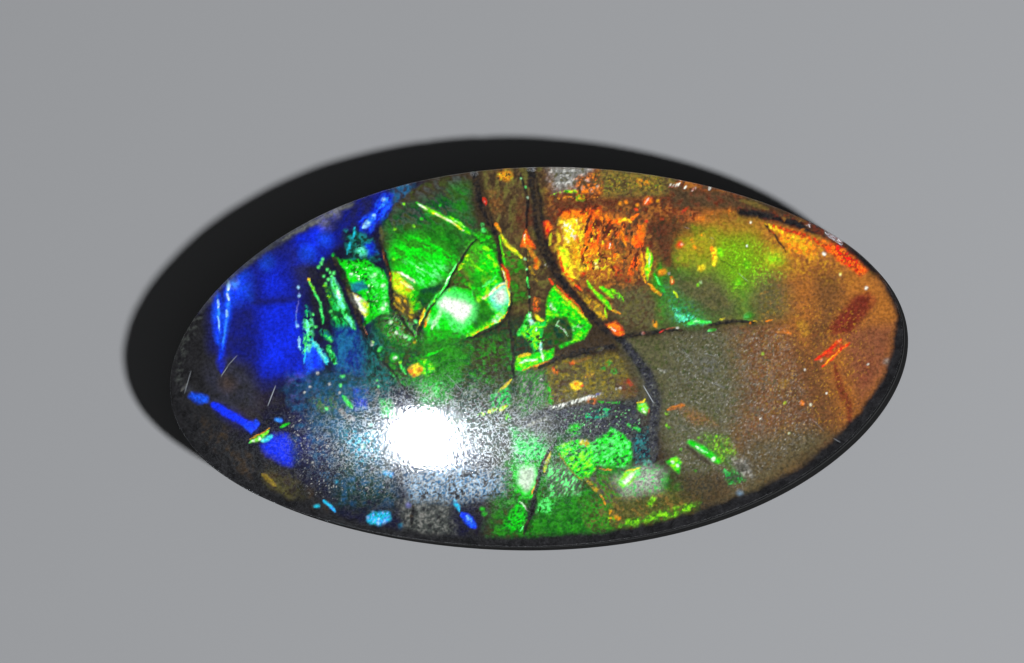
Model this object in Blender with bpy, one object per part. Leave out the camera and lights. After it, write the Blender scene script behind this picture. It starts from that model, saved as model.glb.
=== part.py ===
# An oval ammolite cabochon of three glued layers: shale backing, ammolite layer and clear domed cap.
# Units are metres, +Z is up, and the flat base rests on Z = 0. X runs along the stone, blue end at -X.

import math

import bmesh
import bpy
from mathutils import Vector
from mathutils.geometry import delaunay_2d_cdt

MM = 0.001

# Driving dimensions
LENGTH = 30.2 * MM
WIDTH = 15.6 * MM
HEIGHT = 5.0 * MM
BACKING_HEIGHT = 2.20 * MM
AMMOLITE_THICKNESS = 0.56 * MM
GLUE_LINE = 0.02 * MM
GIRDLE_EDGE = 0.30 * MM
BASE_BEVEL = 0.30 * MM
WALL_LEAN = 0.06 * MM

AMMOLITE_BOTTOM = BACKING_HEIGHT + GLUE_LINE
AMMOLITE_TOP = AMMOLITE_BOTTOM + AMMOLITE_THICKNESS
CAP_BOTTOM = AMMOLITE_TOP + GLUE_LINE

# The hand-cut oval is a little fuller at the lower left and upper right than an ellipse.
OUTLINE_POINTS = 108
THREE_LOBE = -0.0074
FOUR_LOBE_COS = 0.0049
FOUR_LOBE_SIN = 0.0118

# Dome of the cap
DOME_POWER = 2.2
DOME_RINGS = 14

# Relief of the ammolite layer
CRACK_DEPTH = 0.18 * MM
RIM_MARGIN = 0.30 * MM
SHARD_TILT = 0.09 * MM
SWELL = 0.08 * MM
SWELL_LENGTH = 2.3 * MM
POINT_SPACING = 0.85 * MM
CLEAR_OF_CRACK = 1.4
SMALLEST_STEP = 0.01 * MM

# Cracks between the shards, as (width, points), in millimetres from the middle of the stone.
CRACKS_MM = (
    (0.40, ((-1.8, 7.1), (-1.35, 5.7), (-1.0, 3.8), (-0.75, 2.3), (-1.5, 1.4), (-2.6, 0.95))),
    (0.36, ((-1.7, 5.4), (-2.1, 5.0), (-3.0, 3.8), (-4.1, 2.1), (-4.8, 1.2))),
    (0.22, ((0.0, 7.0), (0.2, 6.2), (0.0, 3.3), (0.0, 1.5))),
    (0.60, ((0.45, 7.1), (0.5, 5.6), (0.8, 4.3), (1.7, 2.5), (2.5, 1.4), (3.3, 0.6))),
    (0.34, ((3.6, 0.5), (6.0, 0.7), (8.0, 0.8), (10.2, 0.75))),
    (0.34, ((3.0, 0.1), (1.0, -0.3), (-0.6, -0.9))),
    (0.60, ((3.8, 0.2), (4.7, -1.2), (4.9, -2.4), (4.5, -4.5))),
    (0.36, ((0.7, -3.4), (0.0, -4.8), (-0.5, -6.4), (-0.75, -7.0))),
    (0.30, ((0.95, -4.0), (1.6, -5.2), (2.6, -6.5), (2.8, -6.9))),
    (0.30, ((0.3, -2.5), (1.3, -2.1), (2.8, -1.9), (4.2, -2.2))),
    (0.36, ((-6.0, 6.6), (-5.9, 4.8), (-5.65, 3.0), (-4.95, 1.3), (-5.5, -0.8), (-6.4, -2.4))),
    (0.50, ((-8.9, 5.0), (-8.5, 3.2), (-8.3, 1.6), (-8.0, -0.6))),
    (0.24, ((-9.3, 4.2), (-9.6, 2.0), (-9.5, 0.3))),
    (0.30, ((-13.3, -1.1), (-11.9, -2.4), (-10.1, -3.4), (-8.6, -5.2))),
    (0.28, ((-12.1, 3.5), (-12.6, 1.6), (-12.5, 0.4))),
    (0.36, ((9.0, 5.3), (10.9, 4.6), (12.5, 3.6), (13.6, 2.3))),
    (0.24, ((11.7, -1.1), (13.0, -0.2), (13.9, 0.9))),
    (0.24, ((5.6, -4.3), (6.4, -4.5), (7.4, -5.1))),
    (0.26, ((5.5, 5.9), (6.2, 4.4), (5.8, 3.1), (5.2, 1.6))),
)


def outline(count, inset=0.0):
    """The stone's oval, counterclockwise, pulled in by a distance from its edge."""
    points = []
    for i in range(count):
        turn = math.tau * i / count
        lobes = THREE_LOBE * math.sin(3 * turn)
        lobes += FOUR_LOBE_COS * math.cos(4 * turn) + FOUR_LOBE_SIN * math.sin(4 * turn)
        points.append(Vector((math.cos(turn) * (1 + lobes), math.sin(turn) * (1 + lobes))))
    low = Vector(min(point[axis] for point in points) for axis in (0, 1))
    high = Vector(max(point[axis] for point in points) for axis in (0, 1))
    sides = Vector((LENGTH, WIDTH))
    stretch = Vector(sides[axis] / (high - low)[axis] for axis in (0, 1))
    fitted = [(point - (low + high) / 2) * stretch for point in points]
    return [moved_in(fitted, i, inset) for i in range(count)]


def moved_in(points, i, inset):
    """A point of a closed counterclockwise line, moved inwards along the line's normal."""
    along = points[(i + 1) % len(points)] - points[i - 1]
    inwards = Vector((-along.y, along.x)).normalized()
    return points[i] + inwards * inset


def girdle_inset(z):
    """How far the wall leans in at a height."""
    return WALL_LEAN * z / HEIGHT


def material(name, colour, roughness, metallic=0.0, transmission=0.0, ior=1.5):
    made = bpy.data.materials.new(name)
    made.use_nodes = True
    made.diffuse_color = (*colour, 1.0)
    shader = made.node_tree.nodes["Principled BSDF"]
    shader.inputs["Base Color"].default_value = (*colour, 1.0)
    shader.inputs["Roughness"].default_value = roughness
    shader.inputs["Metallic"].default_value = metallic
    shader.inputs["Transmission Weight"].default_value = transmission
    shader.inputs["IOR"].default_value = ior
    return made


def add_object(name, mesh_maker, finish):
    """A named object from a function that fills a bmesh, with its faces pointing out."""
    shape = bmesh.new()
    mesh_maker(shape)
    bmesh.ops.recalc_face_normals(shape, faces=shape.faces)
    mesh = bpy.data.meshes.new(name)
    shape.to_mesh(mesh)
    shape.free()
    mesh.materials.append(finish)
    mesh.shade_smooth()
    mesh.set_sharp_from_angle(angle=math.radians(30))
    made = bpy.data.objects.new(name, mesh)
    bpy.context.scene.collection.objects.link(made)
    return made


def ring(shape, points, z):
    return [shape.verts.new((point.x, point.y, z)) for point in points]


def bridge(shape, lower, upper):
    """Quads between two closed rings of the same count."""
    for i in range(len(lower)):
        j = (i + 1) % len(lower)
        shape.faces.new((lower[i], lower[j], upper[j], upper[i]))


def backing(shape):
    """The black base: a flat bottom with a ground bevel, and a wall that leans in a little."""
    bottom = ring(shape, outline(OUTLINE_POINTS, BASE_BEVEL), 0.0)
    shoulder = ring(shape, outline(OUTLINE_POINTS, girdle_inset(BASE_BEVEL)), BASE_BEVEL)
    top = ring(shape, outline(OUTLINE_POINTS, girdle_inset(BACKING_HEIGHT)), BACKING_HEIGHT)
    shape.faces.new(reversed(bottom))
    bridge(shape, bottom, shoulder)
    bridge(shape, shoulder, top)
    shape.faces.new(top)


def dome_height(reach):
    """Height of the cap at a share of the way from its middle to its edge."""
    edge_top = CAP_BOTTOM + GIRDLE_EDGE
    return edge_top + (HEIGHT - edge_top) * (1 - reach**DOME_POWER)


def cap(shape):
    """The clear dome: a thin upright edge, then a curve that flattens towards the middle."""
    edge = outline(OUTLINE_POINTS, girdle_inset(CAP_BOTTOM))
    bottom = ring(shape, edge, CAP_BOTTOM)
    lower = bottom
    for step in range(DOME_RINGS):
        reach = math.cos(math.pi / 2 * step / DOME_RINGS)
        upper = ring(shape, [point * reach for point in edge], dome_height(reach))
        bridge(shape, lower, upper)
        lower = upper
    middle = shape.verts.new((0, 0, HEIGHT))
    for i in range(len(lower)):
        shape.faces.new((lower[i], lower[(i + 1) % len(lower)], middle))
    shape.faces.new(reversed(bottom))


def cracks():
    """Each crack as (half width, points) in metres."""
    return [
        (width * MM / 2, [Vector(point) * MM for point in points]) for width, points in CRACKS_MM
    ]


def nearest_crack(point):
    """(distance from a crack's middle line, its half width, side) for the crack that is nearest."""
    best = (math.inf, 1.0, 0.0)
    for half_width, points in cracks():
        for start, end in zip(points, points[1:]):
            run = end - start
            along = max(0.0, min(1.0, (point - start).dot(run) / run.length_squared))
            off = point - start - run * along
            side = math.copysign(1.0, run.x * off.y - run.y * off.x)
            if off.length / half_width < best[0] / best[1]:
                best = (off.length, half_width, side)
    return best


def relief(point):
    """How far the broken surface lies under the plane that the tallest shard reaches."""
    distance, half_width, side = nearest_crack(point)
    groove = CRACK_DEPTH * max(0.0, 1 - distance / half_width)
    tilt = SHARD_TILT * (1 - side) / 2 * math.exp(-distance / SWELL_LENGTH)
    wave = math.sin(point.x / SWELL_LENGTH) * math.cos(point.y / SWELL_LENGTH)
    return groove + tilt + SWELL * (1 - wave) / 2


def crack_lines(half_width, points):
    """The middle line and both shoulders of a crack, drawn to a point at each end."""
    lines = [points]
    for side in (-1, 1):
        shoulder = [points[0]]
        for before, here, after in zip(points, points[1:], points[2:]):
            along = (after - before).normalized()
            shoulder.append(here + Vector((-along.y, along.x)) * half_width * side)
        lines.append([*shoulder, points[-1]])
    return lines


def inside(point, edge):
    """Whether a point lies within a convex counterclockwise line."""
    return all((b - a).cross(point - a) > 0 for a, b in zip(edge, edge[1:] + edge[:1]))


def shard_points():
    """Staggered points on the shards, clear of the cracks and the rim, so that the face can swell."""
    face_edge = outline(OUTLINE_POINTS, RIM_MARGIN)
    rows = int(WIDTH / POINT_SPACING)
    columns = int(LENGTH / POINT_SPACING)
    for row in range(-rows, rows + 1):
        for column in range(-columns, columns + 1):
            x = (column + row % 2 / 2) * POINT_SPACING
            point = Vector((x, row * POINT_SPACING * math.sin(math.radians(60))))
            if inside(point, face_edge):
                distance, half_width, _ = nearest_crack(point)
                if distance > half_width * CLEAR_OF_CRACK:
                    yield point


def ammolite(shape):
    """The shell layer: a thin plate whose face is broken by grooves into tilted, swelling shards."""
    edge = outline(OUTLINE_POINTS, girdle_inset(AMMOLITE_TOP))
    points = list(edge)
    edges = [(i, (i + 1) % len(edge)) for i in range(len(edge))]
    for half_width, line in cracks():
        for drawn in crack_lines(half_width, line):
            first = len(points)
            points.extend(drawn)
            edges.extend((first + i, first + i + 1) for i in range(len(drawn) - 1))
    points.extend(shard_points())
    in_mm = [point / MM for point in points]
    flat, _, faces, _, _, _ = delaunay_2d_cdt(in_mm, edges, [], 1, SMALLEST_STEP / MM)
    corners = []
    for place in (point * MM for point in flat):
        on_rim = any((place - rim).length < SMALLEST_STEP for rim in edge)
        drop = SWELL / 2 if on_rim else relief(place)
        corners.append(shape.verts.new((place.x, place.y, AMMOLITE_TOP - drop)))
    for face in faces:
        shape.faces.new([corners[i] for i in face])
    rim = [side for side in shape.edges if side.is_boundary]
    wall = bmesh.ops.extrude_edge_only(shape, edges=rim)["geom"]
    for part in wall:
        if isinstance(part, bmesh.types.BMVert):
            part.co.z = AMMOLITE_BOTTOM
    foot = [part for part in wall if isinstance(part, bmesh.types.BMEdge) and part.is_boundary]
    bmesh.ops.contextual_create(shape, geom=foot)


def main():
    for old in list(bpy.data.objects):
        bpy.data.objects.remove(old)
    black = material("black_shale", (0.012, 0.011, 0.010), roughness=0.35)
    shell = material("ammolite", (0.10, 0.42, 0.06), roughness=0.3, metallic=0.5)
    clear = material("clear_cap", (1.0, 1.0, 1.0), roughness=0.03, transmission=1.0, ior=1.54)
    add_object("shale_backing", backing, black)
    add_object("ammolite_layer", ammolite, shell)
    add_object("clear_cap", cap, clear)


main()
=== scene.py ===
# %% [markdown]
# An oval ammolite cabochon. The stone is a sandwich of three layers: black shale at the bottom, a thin
# sheet of ammolite shell that flashes from blue through green to orange, and a clear domed cap.
# This notebook loads the plain measured layers and makes the finished ones in their place. Almost all
# of the look is in the ammolite, so most cells paint its broken shards, one part of the stone at a time.

# %% Load the measured layers
import math

import bpy
import numpy as np
from mathutils import Matrix, Vector


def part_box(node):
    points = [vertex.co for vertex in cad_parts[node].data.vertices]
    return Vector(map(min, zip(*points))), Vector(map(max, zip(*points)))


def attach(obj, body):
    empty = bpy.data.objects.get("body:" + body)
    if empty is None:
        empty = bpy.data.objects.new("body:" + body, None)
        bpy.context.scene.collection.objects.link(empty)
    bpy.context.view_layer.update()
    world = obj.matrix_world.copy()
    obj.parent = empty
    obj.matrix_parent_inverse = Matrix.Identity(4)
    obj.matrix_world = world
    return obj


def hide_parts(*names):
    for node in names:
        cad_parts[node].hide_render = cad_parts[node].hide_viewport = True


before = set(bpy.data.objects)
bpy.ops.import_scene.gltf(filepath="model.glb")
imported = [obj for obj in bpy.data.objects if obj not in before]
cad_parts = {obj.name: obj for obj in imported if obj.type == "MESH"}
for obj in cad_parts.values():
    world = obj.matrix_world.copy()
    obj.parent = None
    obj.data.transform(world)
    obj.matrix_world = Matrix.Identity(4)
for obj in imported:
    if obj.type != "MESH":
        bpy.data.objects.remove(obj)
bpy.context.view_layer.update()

MM = 0.001
shale_low, shale_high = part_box("shale_backing")
shell_low, shell_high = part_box("ammolite_layer")
cap_low, cap_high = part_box("clear_cap")
LENGTH, WIDTH = shale_high.x - shale_low.x, shale_high.y - shale_low.y
print(f"layers of a stone {LENGTH / MM:.1f} x {WIDTH / MM:.1f} x {cap_high.z / MM:.1f} mm")

# %% [markdown]
# The stone was cut by hand, so its oval isn't a true ellipse: it is a little fuller at the lower left and
# the upper right. Three small waves around an ellipse give that. The same formula makes every layer's
# rim, and it also tells how far out towards the rim any point lies, which sets the height of the dome.

# %% The oval and the dome as formulas
THREE_LOBE = -0.0074
FOUR_LOBE_COS = 0.0049
FOUR_LOBE_SIN = 0.0118
WALL_LEAN = 0.06 * MM
GIRDLE_EDGE = 0.30 * MM
DOME_POWER = 2.2
EDGE_TOP = cap_low.z + GIRDLE_EDGE


def oval(count, inset=0.0):
    """Points of the stone's outline, counterclockwise, pulled in from its edge."""
    turn = np.linspace(0, math.tau, count, endpoint=False)
    lobes = THREE_LOBE * np.sin(3 * turn)
    lobes = lobes + FOUR_LOBE_COS * np.cos(4 * turn) + FOUR_LOBE_SIN * np.sin(4 * turn)
    points = np.stack([np.cos(turn), np.sin(turn)], 1) * (1 + lobes)[:, None]
    low, high = points.min(0), points.max(0)
    points = (points - (low + high) / 2) * (LENGTH, WIDTH) / (high - low)
    along = np.roll(points, -1, 0) - np.roll(points, 1, 0)
    inwards = np.stack([-along[:, 1], along[:, 0]], 1)
    return points + inset * inwards / np.linalg.norm(inwards, axis=1)[:, None]


def lean(z):
    """How far the wall leans in at a height."""
    return WALL_LEAN * z / cap_high.z


RIM = oval(720, lean(shell_high.z))
RIM_TURN = np.arctan2(RIM[:, 1], RIM[:, 0])
RIM_RADIUS = np.hypot(RIM[:, 0], RIM[:, 1])


def rim_radius(x, y):
    return np.interp(np.arctan2(y, x), RIM_TURN, RIM_RADIUS, period=math.tau)


def dome(x, y):
    """Height of the clear cap's top over a point."""
    out = np.minimum(np.hypot(x, y) / rim_radius(x, y), 1)
    return EDGE_TOP + (cap_high.z - EDGE_TOP) * (1 - out**DOME_POWER)


print(f"the dome is {(dome(0, 0) - EDGE_TOP) / MM:.2f} mm higher than the girdle")

# %% [markdown]
# The camera comes early, because the pattern was read from where it stands. It looks almost straight down
# on the stone from a little to the right and below, through a long lens, so there is hardly any
# perspective. Its three axes are worked out as vectors, since the next step traces sight lines with them.

# %% The camera
PICTURE = (1024, 663)
CAMERA_DISTANCE = 0.350
CAMERA_LEAN = (0.0987, -0.0734)
CAMERA_ROLL = math.radians(-3.07)
CAMERA_TARGET = Vector((-0.907, 1.107, 2.75)) * MM
PIXELS_PER_MM = 24.51
SENSOR_MM = 36.0

toward_camera = Vector((*CAMERA_LEAN, 1.0)).normalized()
level = Vector((-math.sin(CAMERA_ROLL), math.cos(CAMERA_ROLL), 0))
picture_right = level.cross(toward_camera).normalized()
picture_up = toward_camera.cross(picture_right)
camera_place = CAMERA_TARGET + toward_camera * CAMERA_DISTANCE
focal_pixels = PIXELS_PER_MM * CAMERA_DISTANCE / MM

bpy.ops.object.camera_add()
camera = bpy.context.object
axes = Matrix((picture_right, picture_up, toward_camera)).transposed()
camera.matrix_world = Matrix.Translation(camera_place) @ axes.to_4x4()
camera.data.sensor_width = SENSOR_MM
camera.data.lens = SENSOR_MM * focal_pixels / PICTURE[0]
camera.data.clip_start = 0.005
bpy.context.scene.camera = camera
bpy.context.scene.view_settings.view_transform = "Standard"
print(f"camera lens {camera.data.lens:.0f} mm, {CAMERA_DISTANCE} m away")

# %% [markdown]
# The clear dome is a lens: it shifts the pattern under it by up to a fifth of a millimetre. The marks below
# are placed where the eye sees them, in millimetres right and up from the middle of the stone's picture.
# So each point of the shell needs the place where it shows. A sight line is bent at the dome by the law of
# refraction, and its entry point is corrected a few times until it lands on the wanted point.

# %% Where the camera sees a point through the dome
CAP_IOR = 1.54
SEEN_MIDDLE = (533, 355)
SEEN_PER_MM = 24.17
SEEN_TURN = math.radians(4)
SLOPE_STEP = 0.02 * MM
SIGHT_ROUNDS = 8


def dome_normal(x, y):
    """Unit normals of the dome, from its height a small step to each side."""
    slope_x = (dome(x + SLOPE_STEP, y) - dome(x - SLOPE_STEP, y)) / (2 * SLOPE_STEP)
    slope_y = (dome(x, y + SLOPE_STEP) - dome(x, y - SLOPE_STEP)) / (2 * SLOPE_STEP)
    normal = np.stack([-slope_x, -slope_y, np.ones_like(slope_x)], -1)
    return normal / np.linalg.norm(normal, axis=-1, keepdims=True)


def in_picture(points):
    """Pattern coordinates, in seen millimetres, of points in the air."""
    sight = points - np.array(camera_place)
    depth = -(sight @ np.array(toward_camera))
    right = PICTURE[0] / 2 + focal_pixels * (sight @ np.array(picture_right)) / depth - SEEN_MIDDLE[0]
    up = SEEN_MIDDLE[1] - PICTURE[1] / 2 + focal_pixels * (sight @ np.array(picture_up)) / depth
    along = (right * math.cos(SEEN_TURN) + up * math.sin(SEEN_TURN)) / SEEN_PER_MM
    across = (up * math.cos(SEEN_TURN) - right * math.sin(SEEN_TURN)) / SEEN_PER_MM
    return along, across


def seen_through_dome(x, y, z):
    """Pattern coordinates of points under the dome."""
    entry_x, entry_y = x.copy(), y.copy()
    for _ in range(SIGHT_ROUNDS):
        entry = np.stack([entry_x, entry_y, dome(entry_x, entry_y)], 1)
        normal = dome_normal(entry_x, entry_y)
        sight = entry - np.array(camera_place)
        sight /= np.linalg.norm(sight, axis=1)[:, None]
        facing = -np.sum(sight * normal, 1)
        inside_facing = np.sqrt(1 - (1 - facing**2) / CAP_IOR**2)
        bent = sight / CAP_IOR + (facing / CAP_IOR - inside_facing)[:, None] * normal
        run = (z - entry[:, 2]) / bent[:, 2]
        entry_x = entry_x + x - entry[:, 0] - bent[:, 0] * run
        entry_y = entry_y + y - entry[:, 1] - bent[:, 1] * run
    return in_picture(np.stack([entry_x, entry_y, dome(entry_x, entry_y)], 1))


def on_dome(along, across):
    """The point of the dome that shows at given pattern coordinates."""
    right = SEEN_PER_MM * (along * math.cos(SEEN_TURN) - across * math.sin(SEEN_TURN))
    up = SEEN_PER_MM * (along * math.sin(SEEN_TURN) + across * math.cos(SEEN_TURN))
    right += SEEN_MIDDLE[0] - PICTURE[0] / 2
    up += PICTURE[1] / 2 - SEEN_MIDDLE[1]
    sight = picture_right * right + picture_up * up - toward_camera * focal_pixels
    z = cap_high.z
    for _ in range(SIGHT_ROUNDS):
        point = camera_place + sight * (z - camera_place.z) / sight.z
        z = float(dome(point.x, point.y))
    return Vector((point.x, point.y, z))


# %% [markdown]
# All three layers start from the same oval and are edited in the same way, so a few small functions come
# first: a disc with the stone's outline, going in and out of edit mode, extruding a ring, and the last
# step of every piece, which turns its faces outwards, hangs it on the stone's body and hides the measured
# layer it stands for.

# %% Shared helpers for modelling
RIM_POINTS = 360
SAME_HEIGHT = 0.001 * MM


def deselect_all():
    for thing in bpy.context.selected_objects:
        thing.select_set(False)


def set_places(piece, places):
    piece.data.vertices.foreach_set("co", np.asarray(places, np.float32).ravel())
    piece.data.update()


def get_places(piece):
    places = np.empty(len(piece.data.vertices) * 3, np.float32)
    piece.data.vertices.foreach_get("co", places)
    return places.reshape(-1, 3).astype(float)


def oval_disc(name, inset, z):
    """A filled disc, pulled from a circle to the stone's oval."""
    deselect_all()
    bpy.ops.mesh.primitive_circle_add(vertices=RIM_POINTS, radius=1, fill_type="NGON")
    disc = bpy.context.object
    disc.name = disc.data.name = name
    places = get_places(disc)
    turns = np.mod(np.arctan2(places[:, 1], places[:, 0]), math.tau)
    order = np.rint(turns / math.tau * RIM_POINTS).astype(int) % RIM_POINTS
    rim = oval(RIM_POINTS, inset)[order]
    set_places(disc, np.c_[rim, np.full(len(rim), z)])
    return disc


def edit(piece, mode):
    """Go into edit mode, selecting by VERT, EDGE or FACE."""
    bpy.context.view_layer.objects.active = piece
    modes = [mode == kind for kind in ("VERT", "EDGE", "FACE")]
    bpy.context.tool_settings.mesh_select_mode = modes
    bpy.ops.object.mode_set(mode="EDIT")


def extrude_up(height, spread=1.0):
    """Extrude what is selected, then scale the new ring about the stone's axis."""
    bpy.ops.mesh.extrude_region_move(TRANSFORM_OT_translate={"value": (0, 0, height)})
    bpy.ops.transform.resize(value=(spread, spread, 1), center_override=(0, 0, 0))


def select_edges_at(piece, height):
    """In edit mode, select only the edges that lie at a height."""
    bpy.ops.mesh.select_all(action="DESELECT")
    bpy.ops.object.mode_set(mode="OBJECT")
    places = piece.data.vertices
    for edge in piece.data.edges:
        edge.select = all(abs(places[end].co.z - height) < SAME_HEIGHT for end in edge.vertices)
    bpy.ops.object.mode_set(mode="EDIT")


def finish_shape(piece, node, smooth_angle=30):
    """Close an edit, point the faces outwards and hand the piece its place in the frame."""
    bpy.ops.mesh.select_all(action="SELECT")
    bpy.ops.mesh.normals_make_consistent(inside=False)
    bpy.ops.object.mode_set(mode="OBJECT")
    bpy.ops.object.shade_smooth_by_angle(angle=math.radians(smooth_angle))
    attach(piece, "root")
    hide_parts(node)
    print(f"{piece.name}: {len(piece.data.vertices)} points, {len(piece.data.polygons)} faces")


# %% [markdown]
# The shale backing is black and dull, ground flat underneath with a narrow bevel. A cylinder would do from
# far away, but the wall leans in slightly and the bevel catches the light, so a disc is pulled to the oval,
# extruded up as the wall, and its lower edge is bevelled.

# %% The shale backing
BASE_BEVEL = 0.30 * MM
BEVEL_STEPS = 3

base = oval_disc("shale_base", 0.0, 0.0)
edit(base, "EDGE")
bpy.ops.mesh.select_all(action="SELECT")
extrude_up(shale_high.z, 1 - lean(shale_high.z) / (WIDTH / 2))
select_edges_at(base, 0.0)
bpy.ops.mesh.bevel(offset=BASE_BEVEL, segments=BEVEL_STEPS, affect="EDGES")
finish_shape(base, "shale_backing")

# %% [markdown]
# The ammolite is a sheet half a millimetre thick. Its colours are painted on the points of its mesh, so
# the mesh has to be fine: a point about every 0.04 mm, as fine as the picture. Two of its cracks go right
# through, and the sheet is made as the three parts between them. Each part starts as a plain grid. The
# faces outside its border are deleted, and the stepped border that is left slides out to the true curve.

# %% The sheet of ammolite in three parts
GRID_STEP = 0.0385 * MM
SHELL_FACE = shell_high.z
SHELL_MIDDLE = shell_high.z - 0.08 * MM
SMALLEST_EDGE = 0.004 * MM
LEFT_BREAK = ((-6.0, 8.5), (-5.95, 4.8), (-5.65, 3.4), (-5.6, 2.4), (-4.95, 1.3), (-5.5, -0.8),
              (-6.3, -2.4), (-5.5, -6.2), (-5.5, -8.5))
RIGHT_BREAK = ((0.3, 8.5), (0.5, 5.6), (0.8, 4.3), (1.7, 2.5), (2.5, 1.4), (3.6, 0.4), (4.7, -1.2),
               (4.85, -2.6), (4.5, -4.5), (4.4, -8.5))


def break_x(line, y):
    """Where a break crosses a height of the plan."""
    across = np.array(line)[::-1] * MM
    return np.interp(y, across[:, 1], across[:, 0])


def border_vertices(piece):
    """Which points of an open sheet lie on its border."""
    loops = np.empty(len(piece.data.loops), np.int32)
    piece.data.loops.foreach_get("edge_index", loops)
    ends = np.empty(len(piece.data.edges) * 2, np.int32)
    piece.data.edges.foreach_get("vertices", ends)
    open_edges = np.bincount(loops, minlength=len(piece.data.edges)) == 1
    on_border = np.zeros(len(piece.data.vertices), bool)
    on_border[ends.reshape(-1, 2)[open_edges].ravel()] = True
    return on_border


def shell_part(name, left, right):
    """One part of the sheet, still flat and open, cut to the oval and to its two breaks."""
    deselect_all()
    columns, rows = int(LENGTH / GRID_STEP), int(WIDTH / GRID_STEP)
    bpy.ops.mesh.primitive_grid_add(x_subdivisions=columns, y_subdivisions=rows, size=1)
    part = bpy.context.object
    part.name = part.data.name = name
    set_places(part, get_places(part) * (LENGTH, WIDTH, 1) + (0, 0, SHELL_FACE))
    centres = np.empty(len(part.data.polygons) * 3, np.float32)
    part.data.polygons.foreach_get("center", centres)
    x, y, _ = centres.reshape(-1, 3).T.astype(float)
    inside = np.hypot(x, y) < rim_radius(x, y)
    inside &= x > break_x(left, y) if left else True
    inside &= x < break_x(right, y) if right else True
    edit(part, "FACE")
    bpy.ops.mesh.select_all(action="DESELECT")
    bpy.ops.object.mode_set(mode="OBJECT")
    part.data.polygons.foreach_set("select", ~inside)
    bpy.ops.object.mode_set(mode="EDIT")
    bpy.ops.mesh.delete(type="FACE")
    bpy.ops.object.mode_set(mode="OBJECT")
    places = get_places(part)
    x, y = places[:, 0], places[:, 1]
    on_border = border_vertices(part)
    near_rim = on_border & (np.abs(np.hypot(x, y) - rim_radius(x, y)) < 1.5 * GRID_STEP)
    for line in filter(None, (left, right)):
        beside = on_border & ~near_rim & (np.abs(x - break_x(line, y)) < 3 * GRID_STEP)
        x[beside] = break_x(line, y[beside])
    stretch = rim_radius(x[near_rim], y[near_rim]) / np.hypot(x[near_rim], y[near_rim])
    places[near_rim, :2] *= stretch[:, None]
    set_places(part, places)
    edit(part, "VERT")
    bpy.ops.mesh.select_all(action="SELECT")
    bpy.ops.mesh.remove_doubles(threshold=SMALLEST_EDGE)
    bpy.ops.object.mode_set(mode="OBJECT")
    return part


shell_parts = [
    shell_part("ammolite_blue_part", None, LEFT_BREAK),
    shell_part("ammolite_green_part", LEFT_BREAK, RIGHT_BREAK),
    shell_part("ammolite_amber_part", RIGHT_BREAK, None),
]
part_sizes = [len(part.data.vertices) for part in shell_parts]
places = np.concatenate([get_places(part) for part in shell_parts])
seen_x, seen_y = seen_through_dome(places[:, 0], places[:, 1], SHELL_MIDDLE)
print(f"{len(places)} points to paint, in parts of {part_sizes}")

# %% [markdown]
# Paint needs grain. Real shell is mottled at every scale, with torn edges, so each mark is drawn through
# noise: a table of random numbers, blended smoothly, and summed at three sizes. The coordinates are also
# pushed about by noise, which tears the edge of everything that is painted on them.

# %% Grain
LATTICE_SIZE = 256
LATTICE = np.random.default_rng(11).random((LATTICE_SIZE, LATTICE_SIZE))
LAYER_SHIFT = (17.3, 5.1)
TEARS = ((0.5, 0.07, 3.0, 9.0), (0.12, 0.035, 21.0, 33.0))


def noise(x, y):
    """Smooth noise from 0 to 1, one blot to a unit."""
    i, j = np.floor(x).astype(int), np.floor(y).astype(int)
    u, v = x - i, y - j
    u, v = u * u * (3 - 2 * u), v * v * (3 - 2 * v)
    i0, i1 = i % LATTICE_SIZE, (i + 1) % LATTICE_SIZE
    j0, j1 = j % LATTICE_SIZE, (j + 1) % LATTICE_SIZE
    low = LATTICE[i0, j0] * (1 - u) + LATTICE[i1, j0] * u
    high = LATTICE[i0, j1] * (1 - u) + LATTICE[i1, j1] * u
    return low * (1 - v) + high * v


def grain(x, y, size, turn=0.0, stretch=1.0, shift=0.0, layers=3):
    """Mottling from 0 to 1: blots of a size in mm, drawn out by a factor along a direction in degrees."""
    turn = math.radians(turn)
    along = (x * math.cos(turn) + y * math.sin(turn)) / (size * stretch)
    across = (y * math.cos(turn) - x * math.sin(turn)) / size
    total = 0
    for k in range(layers):
        i, j = (along + shift) * 2**k + LAYER_SHIFT[0] * k, (across - shift) * 2**k + LAYER_SHIFT[1] * k
        total = total + noise(i, j) / 2**k
    return total / (2 - 2 ** (1 - layers))


torn_x, torn_y = seen_x.copy(), seen_y.copy()
for size, strength, shift_x, shift_y in TEARS:
    torn_x += strength * (2 * grain(seen_x, seen_y, size, shift=shift_x) - 1)
    torn_y += strength * (2 * grain(seen_x, seen_y, size, shift=shift_y) - 1)
print(f"edges are torn by up to {sum(tear[1] for tear in TEARS):.2f} mm")

# %% [markdown]
# Ammolite shows pure spectral colours, because thin layers in the shell reflect one band of light each.
# The palette follows that: the bright tones are saturated, and the dull ones between them are the brown
# and grey of the shell where it doesn't flash. They are linear values, as a shader reads them.

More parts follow.
